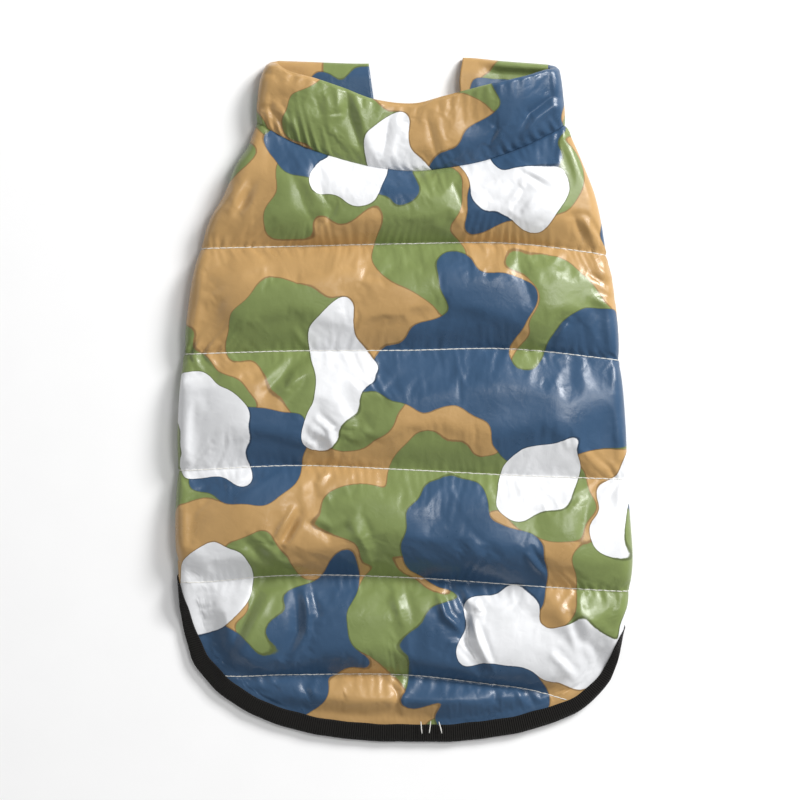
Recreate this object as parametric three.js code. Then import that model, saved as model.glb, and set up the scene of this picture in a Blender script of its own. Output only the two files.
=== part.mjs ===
// A quilted winter vest for a small dog, laid flat with its back up and its belly side under it.
// Millimetres. +Z is up, +Y points to the neck, +X is the right edge as seen from above.
import * as THREE from "three";

const { clamp, lerp, smoothstep } = THREE.MathUtils;

// Driving sizes
const BELLY_WALL = 7; // padded layer that lies on the floor
const LAYER_GAP = 0.6; // air between the belly layer and the back layer
const BACK_FLOOR = BELLY_WALL + LAYER_GAP; // inside of the back layer where it lies on the belly
const SEAM_GAP = 0.3; // between pieces that are sewn together
const INSIDE_GAP = 0.6; // between the inner leg of a binding and the cloth, which turns tightly there
const EDGE_ROOM = 0.9; // more room at the very edge, which twists as the hem passes under
const STITCHED = 3; // back wall along a stitch line
const CROWN = 11; // most that the padding rises above a stitch line
const SIDE_SHARE = 0.5; // share of that rise left at the side folds
const FOLD_REACH = 7; // half width of a rounded side fold
const FOLD_INSIDE = { cloth: 0.4, hem: 3.4 }; // the same on its inner face, tight but wider at the hem
const FOLD_LENGTH = 22; // cloth taken up by one side fold
const NIP = 1.4; // how far a stitch line draws the side fold in
const TAPE = 1; // ribbed binding tape
const BINDING_WIDTH = 9;
const HEM_WALL = 5; // hem with its binding, squeezed
const MARGIN = 10.5; // flat margin along a bound hem
const MARGIN_FADE = 8; // length in which the wall grows from the margin to the cloth
const PUFF_FADE = 15; // length in which the padding grows from the margin
const SIDE_FADE = 34; // length in which the padding grows from a side fold
const TAIL_START = 2; // where the tail starts to come down, past the belly hem
const TAIL_DROP = 24; // length in which it comes down to the floor
const COLLAR_RISE = 4.5; // padding of the collar
const COLLAR_TOP = 0.9; // place on the padding's round where the collar's top edge lies
const COLLAR_THIN = { by: 2.4, from: 0.75, least: 2.4 }; // the front ends get thinner to their top edge
const LAP_WIDTH = 18; // overlap of the two fronts
const LAP_STEP = { outer: 3, inner: 1 }; // slope from the padded front down to its lap
const LAP_WALL = 2.2; // lower lap
const STRIP_WALL = 0.7; // hook strip and loop strip
const ARMHOLE = { centre: 88, half: 38, depth: 40 };
const THROAT = { left: -15.8, right: 32.3 }; // the collar's two front ends

// Side folds, the widest line of the garment, and the side seams underneath
const SIDES = [
  { y: -190, left: -124, right: 121 },
  { y: -147, left: -124.2, right: 121.5 },
  { y: -134, left: -124.8, right: 122.8 },
  { y: -116, left: -126.2, right: 126.2 },
  { y: -92, left: -127.8, right: 128 },
  { y: -63, left: -128.3, right: 126.4 },
  { y: -35, left: -127.6, right: 125.2 },
  { y: 0, left: -126.2, right: 123 },
  { y: 27, left: -124, right: 121 },
  { y: 45, left: -122, right: 119.2 },
  { y: 77, left: -117, right: 115 },
  { y: 100, left: -109.4, right: 110.2 },
  { y: 115, left: -101, right: 106.4 },
  { y: 131, left: -94.6, right: 100.2 },
  { y: 142, left: -88, right: 96 },
  { y: 154, left: -84, right: 91.4 },
];
const SIDE_SEAMS = [
  { y: -118, left: -103.4, right: 101 },
  { y: 0, left: -100, right: 97 },
  { y: 77, left: -88, right: 87 },
  { y: 155, left: -59, right: 66 },
];
const SEAM_END = { left: -88, right: -118 }; // where the side seams meet the hem

// Hem of the back panel on the flat cloth, from the left seam round the tail to the right seam
const HEM = [
  { x: -150, y: -93.5 },
  { x: -139, y: -99 },
  { x: -131.2, y: -104.5 },
  { x: -126.2, y: -115 },
  { x: -123.6, y: -125 },
  { x: -121, y: -134.2 },
  { x: -117, y: -146 },
  { x: -110, y: -155.8 },
  { x: -100.7, y: -165.2 },
  { x: -80.6, y: -176.8 },
  { x: -62, y: -183.5 },
  { x: -25.3, y: -189.5 },
  { x: 9.4, y: -190.4 },
  { x: 33, y: -190 },
  { x: 51.2, y: -187.6 },
  { x: 69.5, y: -184.1 },
  { x: 87.8, y: -178 },
  { x: 97, y: -173.5 },
  { x: 106.4, y: -166 },
  { x: 114.3, y: -156.1 },
  { x: 118.9, y: -147 },
  { x: 121.5, y: -140.5 },
  { x: 126.5, y: -134 },
  { x: 136, y: -128 },
  { x: 147, y: -123 },
];
const TAIL_CORNERS = { left: -80.6, right: 87.8 }; // where the sides of the cloth turn into its end
const BELLY_HEM = [
  { x: -130, y: -108 },
  { x: -103, y: -88 },
  { x: -50, y: -77 },
  { x: 8, y: -74 },
  { x: 60, y: -92 },
  { x: 101, y: -118 },
  { x: 130, y: -138 },
];

// Neck seam of the back, then the top edge of the collar's back band
const NECK = [
  { x: -84, seam: 154.6, top: 190.4 },
  { x: -77, seam: 151.6, top: 191 },
  { x: -65, seam: 145, top: 183.4 },
  { x: -50, seam: 138.8, top: 179 },
  { x: -34, seam: 133.8, top: 173.6 },
  { x: -17, seam: 129.8, top: 167.4 },
  { x: 5, seam: 127.4, top: 165 },
  { x: 22, seam: 129, top: 169 },
  { x: 44, seam: 133, top: 174.4 },
  { x: 66, seam: 140.6, top: 179.4 },
  { x: 80, seam: 147.4, top: 184.2 },
  { x: 91.4, seam: 152.9, top: 186.8 },
];
const NECK_SIDES = { left: 154.6, right: 152.9 }; // neck seam at the side folds and on the belly side
const COLLAR_SIDES = [
  { up: 0, left: -84, right: 91.4, throatLeft: -15.8, throatRight: 32.3 },
  { up: 0.35, left: -82.6, right: 89.8, throatLeft: -17, throatRight: 31.8 },
  { up: 0.7, left: -80.6, right: 88.4, throatLeft: -18.6, throatRight: 31 },
  { up: 1, left: -77.4, right: 87.2, throatLeft: -20, throatRight: 32.9 },
];
const COLLAR_FRONT = [
  { x: -84, top: 190.4 },
  { x: -54, top: 189.3 },
  { x: -20, top: 188.4 },
  { x: 33, top: 191.6 },
  { x: 56, top: 189.6 },
  { x: 91, top: 187 },
];
// How far the back band stands off the collar's front ends at its top edge
const COLLAR_LIFT = [
  { x: -80, lift: 0 },
  { x: -50, lift: 4 },
  { x: -5, lift: 2 },
  { x: 25, lift: 4 },
  { x: 60, lift: 9 },
  { x: 84, lift: 0 },
];

// Stitch lines across the back, from the neck to the tail, at five stations across
const STATIONS = { farLeft: -120, left: -60, middle: 0, right: 60, farRight: 120 };
const STITCHES = [
  { farLeft: 84, left: 85.4, middle: 86.8, right: 87, farRight: 79.8 },
  { farLeft: 25.2, left: 26.9, middle: 27.2, right: 28, farRight: 21.8 },
  { farLeft: -39.8, left: -37.2, middle: -39.5, right: -42.6, farRight: -44.8 },
  { farLeft: -102.5, left: -98.8, middle: -100.2, right: -103.9, farRight: -107.5 },
  { farLeft: -155.7, left: -154.8, middle: -154.9, right: -161.5, farRight: -167.4 },
];
// Largest folds of the back and collar: a soft trough from one end to the other
const FOLDS = [
  { x0: -58, y0: 24, x1: -74, y1: 2, depth: 2.6, reach: 6 },
  { x0: -86, y0: 26, x1: -107, y1: 12, depth: 2.2, reach: 6 },
  { x0: 22, y0: -104, x1: 46, y1: -151, depth: 3, reach: 7 },
  { x0: -76, y0: -108, x1: -72, y1: -150, depth: 2.4, reach: 7 },
  { x0: 86, y0: 168, x1: 56, y1: 134, depth: 2.2, reach: 6 },
  { x0: -67, y0: 162, x1: -58, y1: 142, depth: 1.8, reach: 5 },
  { x0: -36, y0: 174, x1: -25, y1: 138, depth: 1.6, reach: 5 },
  { x0: 96, y0: 78, x1: 78, y1: 44, depth: 2.2, reach: 6 },
];

// Mesh steps
const CHANNEL_STEPS = [0, 0.09, 0.27, 0.5, 0.73, 0.91, 1];
const TURNING_STEPS = [0, 0.07, 0.16, 0.25, 0.34, 0.43, 0.52, 0.61, 0.7, 0.79, 0.87, 0.94, 1];
const TURNING_CHANNEL = 4; // here the hem passes from the belly side to the back
const SIDE_STEPS = 7;
const TOP_STEPS = 20;
const FOLD_SHARE = { stitch: 0.3, from: -2, full: 10 }; // folds fade on stitch lines and at the side folds
const END_ZONE = 0.3; // outer share of a stitch line that bends to meet the edge
const LEAST_SIDE = 8; // narrowest zone of side columns, where the tail has no fold
const FRONT_ROWS = 24;
const FRONT_COLUMNS = 7;
const COLLAR_ROWS = [0, 0.12, 0.32, 0.55, 0.78, 0.93, 1];
const THROAT_STEPS = 7;
const BINDING_STEP = 6.5;
const BINDING_END = 2; // a binding stops so far from its seam
const BINDING_TUCK = { seam: 1, lap: 4 }; // the same for the belly bindings at the side seam and at the lap
const NOSE = 1.4; // how much further a tape's fold stands off than its legs
const HEM_POINTS = 230;
const EVEN_PASSES = { count: 12, share: 0.6 }; // passes that set a front's columns against its slanting hem

// Reads one column of a table as a smooth curve over its key column.
function curveOf(table, key, column) {
  const at = table.map((row) => row[key]);
  const value = table.map((row) => row[column]);
  const last = at.length - 1;
  const slope = at.map((_, i) => {
    const low = Math.max(i - 1, 0);
    const high = Math.min(i + 1, last);
    return (value[high] - value[low]) / (at[high] - at[low]);
  });
  return (x) => {
    const held = clamp(x, at[0], at[last]);
    let i = 0;
    while (i < last - 1 && held > at[i + 1]) i += 1;
    const span = at[i + 1] - at[i];
    const t = (held - at[i]) / span;
    const rise = t * t * (3 - 2 * t);
    const start = t * (1 - t) * (1 - t) * span * slope[i];
    const end = t * t * (t - 1) * span * slope[i + 1];
    return value[i] + (value[i + 1] - value[i]) * rise + start + end;
  };
}

const sideLeft = curveOf(SIDES, "y", "left");
const sideRight = curveOf(SIDES, "y", "right");
const seamLeft = curveOf(SIDE_SEAMS, "y", "left");
const seamRight = curveOf(SIDE_SEAMS, "y", "right");
const bellyHem = curveOf(BELLY_HEM, "x", "y");
const neckSeam = curveOf(NECK, "x", "seam");
const bandTop = curveOf(NECK, "x", "top");
const frontTop = curveOf(COLLAR_FRONT, "x", "top");
const collarLift = curveOf(COLLAR_LIFT, "x", "lift");
const collarAt = (column) => curveOf(COLLAR_SIDES, "up", column);
const stitchCurves = STITCHES.map((row) => {
  const table = Object.keys(STATIONS).map((name) => ({ x: STATIONS[name], y: row[name] }));
  return curveOf(table, "x", "y");
});

// A wall between two faces. A pair holds a point of each, a patch four pairs. Open edges are closed.
function closedWall(pairs, patches) {
  const places = [...pairs.map((pair) => pair.outer), ...pairs.map((pair) => pair.inner)];
  const second = pairs.length;
  const index = [];
  const open = new Map();
  const quad = (a, b, c, d) => index.push(a, b, c, a, c, d);
  for (const [a, b, c, d] of patches) {
    quad(a, b, c, d);
    quad(second + a, second + d, second + c, second + b);
    for (const [from, to] of [[a, b], [b, c], [c, d], [d, a]]) {
      if (!open.delete(`${to} ${from}`)) open.set(`${from} ${to}`, [from, to]);
    }
  }
  for (const [from, to] of open.values()) quad(to, from, second + from, second + to);
  let volume = 0;
  for (let i = 0; i < index.length; i += 3) {
    const [a, b, c] = [places[index[i]], places[index[i + 1]], places[index[i + 2]]];
    volume += a.dot(new THREE.Vector3().crossVectors(b, c));
  }
  if (volume < 0) index.reverse();
  const geometry = new THREE.BufferGeometry();
  geometry.setAttribute("position", new THREE.Float32BufferAttribute(places.flatMap((p) => p.toArray()), 3));
  geometry.setIndex(index);
  geometry.computeVertexNormals();
  return geometry;
}

// Patches between neighbouring lines of pairs, given each line's numbers
function patchesBetween(lines) {
  const patches = [];
  for (let i = 0; i < lines.length - 1; i += 1) {
    for (let j = 0; j < lines[i].length - 1; j += 1) {
      patches.push([lines[i][j], lines[i + 1][j], lines[i + 1][j + 1], lines[i][j + 1]]);
    }
  }
  return patches;
}

function wallOfRows(rows) {
  const width = rows[0].length;
  return closedWall(rows.flat(), patchesBetween(rows.map((row, i) => row.map((_, j) => i * width + j))));
}

// Lays a point of flat cloth on the garment. Past a side fold, the cloth turns under.
function folded(across, y, sides, floor, wall, under, reach, inside = FOLD_INSIDE.cloth) {
  const outward = across < (sides.left + sides.right) / 2 ? -1 : 1;
  const start = outward < 0 ? sides.left + FOLD_REACH : sides.right - FOLD_REACH;
  const past = (across - start) * outward;
  if (past <= 0) {
    return { outer: new THREE.Vector3(across, y, floor + wall), inner: new THREE.Vector3(across, y, floor) };
  }
  const turn = Math.PI * (0.5 - Math.min(past / FOLD_LENGTH, 1));
  const back = Math.max(past - FOLD_LENGTH, 0);
  const share = 0.5 + 0.5 * Math.sin(turn);
  const outX = start + outward * (reach * Math.cos(turn) - back);
  const inX = start + outward * (inside * Math.cos(turn) - back);
  return {
    outer: new THREE.Vector3(outX, y, (floor + wall) * share),
    inner: new THREE.Vector3(inX, y, under + (floor - under) * share),
  };
}

// Moves both faces of a wall towards each other.
function squeeze(pair, by) {
  const through = new THREE.Vector3().subVectors(pair.outer, pair.inner).normalize();
  pair.outer.addScaledVector(through, -by);
  pair.inner.addScaledVector(through, by);
  return pair;
}

// Edge of the back panel on the flat cloth: left seam, hem, right seam
const foldStart = (y) => ({ left: sideLeft(y) + FOLD_REACH, right: sideRight(y) - FOLD_REACH });
const flatSeamLeft = (y) => 2 * foldStart(y).left - FOLD_LENGTH - seamLeft(y);
const flatSeamRight = (y) => 2 * foldStart(y).right + FOLD_LENGTH - seamRight(y);
const edge = [];
const edgeAtSeamEnd = {};
(function traceEdge() {
  const step = 2;
  for (let y = NECK_SIDES.left; y > SEAM_END.left; y -= step) {
    edge.push(new THREE.Vector2(flatSeamLeft(y), y));
  }
  edgeAtSeamEnd.left = edge.length;
  const ends = [
    new THREE.Vector3(flatSeamLeft(SEAM_END.left), SEAM_END.left, 0),
    new THREE.Vector3(flatSeamRight(SEAM_END.right), SEAM_END.right, 0),
  ];
  const middle = HEM.map((row) => new THREE.Vector3(row.x, row.y, 0));
  const hem = new THREE.CatmullRomCurve3([ends[0], ...middle, ends[1]], false, "centripetal");
  for (const p of hem.getSpacedPoints(HEM_POINTS)) edge.push(new THREE.Vector2(p.x, p.y));
  edgeAtSeamEnd.right = edge.length - 1;
  for (let y = SEAM_END.right + step; y < NECK_SIDES.right; y += step) {
    edge.push(new THREE.Vector2(flatSeamRight(y), y));
  }
  edge.push(new THREE.Vector2(flatSeamRight(NECK_SIDES.right), NECK_SIDES.right));
})();
const travel = [0];
for (let i = 1; i < edge.length; i += 1) travel.push(travel[i - 1] + edge[i].distanceTo(edge[i - 1]));
const EDGE_LENGTH = travel[travel.length - 1];
const HEM_START = travel[edgeAtSeamEnd.left];
const HEM_END = travel[edgeAtSeamEnd.right];
const hemPoints = edge.slice(edgeAtSeamEnd.left, edgeAtSeamEnd.right + 1);

function edgeAt(distance) {
  const held = clamp(distance, 0, EDGE_LENGTH);
  let i = 0;
  while (i < travel.length - 2 && travel[i + 1] < held) i += 1;
  const share = (held - travel[i]) / (travel[i + 1] - travel[i]);
  return new THREE.Vector2().lerpVectors(edge[i], edge[i + 1], share);
}

function inwardAt(distance) {
  const spread = 7;
  const along = edgeAt(distance + spread).sub(edgeAt(distance - spread));
  const normal = new THREE.Vector2(-along.y, along.x).normalize();
  const level = new THREE.Vector2(distance < EDGE_LENGTH / 2 ? 1 : -1, 0);
  const blend = 30;
  const begun = smoothstep(distance, HEM_START - blend / 2, HEM_START + blend);
  const ended = 1 - smoothstep(distance, HEM_END - blend, HEM_END + blend / 2);
  return level.lerp(normal, begun * ended).normalize();
}

const inset = (distance, depth) => edgeAt(distance).addScaledVector(inwardAt(distance), depth);

function hemDistance(across, y) {
  const here = new THREE.Vector2(across, y);
  return Math.min(...hemPoints.map((p) => p.distanceTo(here)));
}

function foldDepth(x, y) {
  let sum = 0;
  for (const row of FOLDS) {
    const along = new THREE.Vector2(row.x1 - row.x0, row.y1 - row.y0);
    const here = new THREE.Vector2(x - row.x0, y - row.y0);
    const share = clamp(here.dot(along) / along.lengthSq(), 0, 1);
    const off = here.distanceTo(along.clone().multiplyScalar(share)) / row.reach;
    sum += row.depth * Math.exp(-off * off);
  }
  return sum;
}

const pillow = (share) => 1 - Math.abs(2 * share - 1) ** 2.4;
const backFloor = (x, y) => BACK_FLOOR * (1 - smoothstep(bellyHem(x) - TAIL_START - y, 0, TAIL_DROP));

// Both faces of the back panel at a point of its flat cloth. Rise is 0 on a stitch line and 1 at a crown.
function backWall(across, y, rise) {
  const sides = { left: sideLeft(y), right: sideRight(y) };
  const seen = clamp(across, sides.left, sides.right);
  const fromHem = hemDistance(across, y);
  const margin = 1 - smoothstep(fromHem, MARGIN, MARGIN + MARGIN_FADE);
  const inside = Math.min(seen - sides.left, sides.right - seen) - FOLD_REACH;
  const rounding = lerp(SIDE_SHARE, 1, smoothstep(inside, 0, SIDE_FADE));
  const puff = CROWN * rise * rounding * smoothstep(fromHem, MARGIN, MARGIN + PUFF_FADE);
  const shown = lerp(FOLD_SHARE.stitch, 1, rise) * (1 - margin);
  const sunk = foldDepth(seen, y) * shown * smoothstep(inside, FOLD_SHARE.from, FOLD_SHARE.full);
  const wall = Math.max(lerp(STITCHED, HEM_WALL, margin) + puff - sunk, STITCHED - 1);
  const floor = backFloor(seen, y);
  const under = clamp(floor - LAYER_GAP, 0, BELLY_WALL);
  const reach = FOLD_REACH - NIP * (1 - rise) * (1 - margin);
  const hollow = lerp(FOLD_INSIDE.cloth, FOLD_INSIDE.hem, margin);
  return squeeze(folded(across, y, sides, floor, wall, under, reach, hollow), margin * (TAPE + SEAM_GAP));
}

// Places along the edge where each stitch line starts and ends
function edgeWhere(y, from, to) {
  let [low, high] = [from, to];
  for (let i = 0; i < 40; i += 1) {
    const middle = (low + high) / 2;
    if (inset(middle, MARGIN).y > y) low = middle;
    else high = middle;
  }
  return (low + high) / 2;
}

const TAIL_BELOW = -150;

function edgeCorner(x) {
  let best = HEM_START;
  let nearest = Infinity;
  for (let d = HEM_START; d < HEM_END; d += 0.5) {
    const here = edgeAt(d);
    if (here.y <= TAIL_BELOW && Math.abs(here.x - x) < nearest) {
      nearest = Math.abs(here.x - x);
      best = d;
    }
  }
  return best;
}

const lowest = edgeCorner(0);
const leftAt = [
  0,
  ...STITCHES.map((row) => edgeWhere(row.farLeft, 0, lowest)),
  edgeCorner(TAIL_CORNERS.left),
];
const rightAt = [
  EDGE_LENGTH,
  ...STITCHES.map((row) => edgeWhere(row.farRight, EDGE_LENGTH, lowest)),
  edgeCorner(TAIL_CORNERS.right),
];
const rowCurves = [neckSeam, ...stitchCurves];

// Points of the flat cloth along the neck seam, a stitch line or the tail, at each inner column
function rowLine(k) {
  const columns = 2 * SIDE_STEPS + TOP_STEPS;
  const points = [];
  for (let j = 0; j <= columns; j += 1) {
    if (k === rowCurves.length) {
      points.push(inset(lerp(leftAt[k], rightAt[k], j / columns), MARGIN));
      continue;
    }
    const left = inset(leftAt[k], MARGIN);
    const right = inset(rightAt[k], MARGIN);
    const innerLeft = Math.max(foldStart(left.y).left, left.x + LEAST_SIDE);
    const innerRight = Math.min(foldStart(right.y).right, right.x - LEAST_SIDE);
    const past = j - SIDE_STEPS - TOP_STEPS;
    let x = lerp(innerLeft, innerRight, (j - SIDE_STEPS) / TOP_STEPS);
    if (j < SIDE_STEPS) x = lerp(left.x, innerLeft, j / SIDE_STEPS);
    if (past > 0) x = lerp(innerRight, right.x, past / SIDE_STEPS);
    const seen = clamp(x, sideLeft(left.y), sideRight(right.y));
    const share = (x - left.x) / (right.x - left.x);
    const missed = lerp(left.y - rowCurves[k](seen), right.y - rowCurves[k](seen), share);
    const atEnd = Math.max(0, Math.abs(share - 0.5) * 2 - 1 + END_ZONE) / END_ZONE;
    points.push(new THREE.Vector2(x, rowCurves[k](seen) + missed * atEnd * atEnd));
  }
  return points;
}

const rowLines = [0, 1, 2, 3, 4, 5, 6].map(rowLine);

function flatRow(k, share) {
  const ends = [lerp(leftAt[k], leftAt[k + 1], share), lerp(rightAt[k], rightAt[k + 1], share)];
  const left = inset(ends[0], MARGIN);
  const right = inset(ends[1], MARGIN);
  const upper = rowLines[k];
  const lower = rowLines[k + 1];
  const last = upper.length - 1;
  const offLeft = left.clone().sub(new THREE.Vector2().lerpVectors(upper[0], lower[0], share));
  const offRight = right.clone().sub(new THREE.Vector2().lerpVectors(upper[last], lower[last], share));
  const points = upper.map((p, j) => {
    const here = new THREE.Vector2().lerpVectors(p, lower[j], share);
    return here.addScaledVector(offLeft, 1 - j / last).addScaledVector(offRight, j / last);
  });
  return { points, ends, rise: pillow(share) };
}

const flatRows = [];
for (let k = 0; k < rowCurves.length; k += 1) {
  const steps = k === TURNING_CHANNEL ? TURNING_STEPS : CHANNEL_STEPS;
  for (const share of k === 0 ? steps : steps.slice(1)) flatRows.push(flatRow(k, share));
}

// Stations along the cloth's edge: down the left side, round the tail and up the right side
const tailRow = flatRows[flatRows.length - 1];
const tailColumns = tailRow.points.length - 1;
const stations = flatRows.map((row) => ({ at: row.ends[0], rise: row.rise }));
for (let j = 1; j < tailColumns; j += 1) {
  stations.push({ at: lerp(tailRow.ends[0], tailRow.ends[1], j / tailColumns), rise: 0 });
}
for (const row of [...flatRows].reverse()) stations.push({ at: row.ends[1], rise: row.rise });

// Both faces of the back panel at a station, from the edge of the cloth inwards
const TAPE_DEPTHS = [0, 0.35, 0.7, 1].map((share) => share * (BINDING_WIDTH - TAPE - SEAM_GAP));
const marginAt = (station) => TAPE_DEPTHS.map((depth) => {
  const p = inset(station.at, depth);
  return backWall(p.x, p.y, station.rise);
});

function backPanel() {
  const pairs = flatRows.flatMap((row) => row.points.map((p) => backWall(p.x, p.y, row.rise)));
  const width = tailColumns + 1;
  const lines = flatRows.map((_, i) => Array.from({ length: width }, (_, j) => i * width + j));
  const lastLine = lines[lines.length - 1];
  const border = [
    ...lines.map((line) => line[0]),
    ...lastLine.slice(1, -1),
    ...[...lines].reverse().map((line) => line[width - 1]),
  ];
  const margin = stations.map((station, i) => {
    const first = pairs.length;
    pairs.push(...marginAt(station));
    return [...TAPE_DEPTHS.keys()].map((depth) => first + depth).concat(border[i]);
  });
  return closedWall(pairs, [...patchesBetween(lines), ...patchesBetween(margin)]);
}

// A tape folded over an edge: each step gives the edge's two faces at depths in from the edge.
function foldedTape(steps) {
  const rows = steps.map((pairs) => {
    const middle = new THREE.Vector3().addVectors(pairs[0].outer, pairs[0].inner).multiplyScalar(0.5);
    const deeper = new THREE.Vector3().addVectors(pairs[1].outer, pairs[1].inner).multiplyScalar(0.5);
    const away = new THREE.Vector3().subVectors(middle, deeper).normalize();
    const face = (pair, side, off) => {
      const through = new THREE.Vector3().subVectors(pair.outer, pair.inner).normalize();
      return pair[side].clone().addScaledVector(through, side === "outer" ? off : -off);
    };
    const ring = (off, insideOff) => {
      const upper = pairs.map((pair) => face(pair, "outer", off)).reverse();
      const lower = pairs.map((pair) => face(pair, "inner", insideOff));
      const turn = upper[upper.length - 1].clone().addScaledVector(away, off + EDGE_ROOM);
      const back = lower[0].clone().addScaledVector(away, off + EDGE_ROOM);
      const nose = middle.clone().addScaledVector(away, off * NOSE + EDGE_ROOM);
      return [...upper, turn, nose, back, ...lower];
    };
    const inside = ring(SEAM_GAP, INSIDE_GAP);
    return ring(SEAM_GAP + TAPE, SEAM_GAP + TAPE).map((outer, i) => {
      outer.z = Math.max(outer.z, 0);
      return { outer, inner: inside[i] };
    });
  });
  const width = rows[0].length;
  const lines = rows.map((row, i) => row.map((_, j) => i * width + j));
  // Patches of the upper leg are split the way the panel's own are.
  const patches = patchesBetween(lines).map(([a, b, c, d]) => (
    a % width < steps[0].length - 1 ? [b, c, d, a] : [a, b, c, d]
  ));
  return closedWall(rows.flat(), patches);
}

function tailBinding() {
  const [first, last] = [HEM_START + BINDING_END, HEM_END - BINDING_END];
  const bound = stations.filter((station) => station.at > first && station.at < last);
  return foldedTape(bound.map(marginAt));
}

// The fronts: side is -1 for the left front, 1 for the right front.
const middleFront = (THROAT.left + THROAT.right) / 2;
const lapEdge = { left: middleFront + LAP_WIDTH / 2, right: middleFront - LAP_WIDTH / 2 };
const FRONT_EDGES = [
  { y: -130, left: lapEdge.left, right: lapEdge.right },
  { y: 60, left: lapEdge.left, right: lapEdge.right },
  { y: 84, left: lapEdge.left, right: lapEdge.right },
  { y: 125, left: -2, right: 18 },
  { y: 155, left: THROAT.left, right: THROAT.right },
];
const frontEdgeLeft = curveOf(FRONT_EDGES, "y", "left");
const frontEdgeRight = curveOf(FRONT_EDGES, "y", "right");

function frontColumns(y, side) {
  const off = clamp((y - ARMHOLE.centre) / ARMHOLE.half, -1, 1);
  const scoop = ARMHOLE.depth * (1 - off ** 4);
  const seam = side < 0 ? seamLeft(y) : seamRight(y);
  const outside = seam - side * (SEAM_GAP + scoop);
  const front = side < 0 ? frontEdgeLeft(y) : frontEdgeRight(y);
  const lap = front + side * (LAP_WIDTH + LAP_STEP.outer);
  const xs = [];
  for (let j = 0; j <= FRONT_COLUMNS; j += 1) xs.push(lerp(outside, lap, j / FRONT_COLUMNS));
  return [...xs, front + side * (LAP_WIDTH + LAP_STEP.inner), front + side * 2, front];
}

function frontWall(x, y, side, column) {
  const margin = 1 - smoothstep(y - bellyHem(x), MARGIN, MARGIN + MARGIN_FADE);
  const squeezed = margin * (TAPE + SEAM_GAP);
  let low = squeezed;
  let high = lerp(BELLY_WALL, HEM_WALL, margin) - squeezed;
  if (column > FRONT_COLUMNS && side < 0) {
    low = 0;
    high = LAP_WALL;
  }
  if (column > FRONT_COLUMNS && side > 0) {
    low = LAP_WALL + 2 * STRIP_WALL + 3 * SEAM_GAP;
    high = BELLY_WALL;
  }
  return { outer: new THREE.Vector3(x, y, low), inner: new THREE.Vector3(x, y, high) };
}

function frontPanel(side) {
  const neck = side < 0 ? NECK_SIDES.left : NECK_SIDES.right;
  const rows = [];
  for (let i = 0; i <= FRONT_ROWS + 1; i += 1) {
    rows.push(frontColumns(0, side).map((start, column) => {
      let x = start;
      let y = 0;
      for (let pass = 0; pass < EVEN_PASSES.count; pass += 1) {
        y = i > FRONT_ROWS ? bellyHem(x) : lerp(neck, bellyHem(x) + MARGIN, i / FRONT_ROWS);
        x = lerp(x, frontColumns(y, side)[column], EVEN_PASSES.share);
      }
      return frontWall(x, y, side, column);
    }));
  }
  return wallOfRows(rows);
}

function bellyBinding(side) {
  const seam = side < 0 ? seamLeft(SEAM_END.left) : seamRight(SEAM_END.right);
  const from = seam - side * (SEAM_GAP + BINDING_TUCK.seam);
  const to = (side < 0 ? lapEdge.left : lapEdge.right) + side * (LAP_WIDTH + BINDING_TUCK.lap);
  const count = Math.round(Math.abs(to - from) / BINDING_STEP);
  const steps = [];
  for (let i = 0; i <= count; i += 1) {
    const x = lerp(from, to, i / count);
    steps.push(TAPE_DEPTHS.map((depth) => ({
      outer: new THREE.Vector3(x, bellyHem(x) + depth, TAPE + SEAM_GAP),
      inner: new THREE.Vector3(x, bellyHem(x) + depth, HEM_WALL - TAPE - SEAM_GAP),
    })));
  }
  return foldedTape(steps);
}

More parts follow.
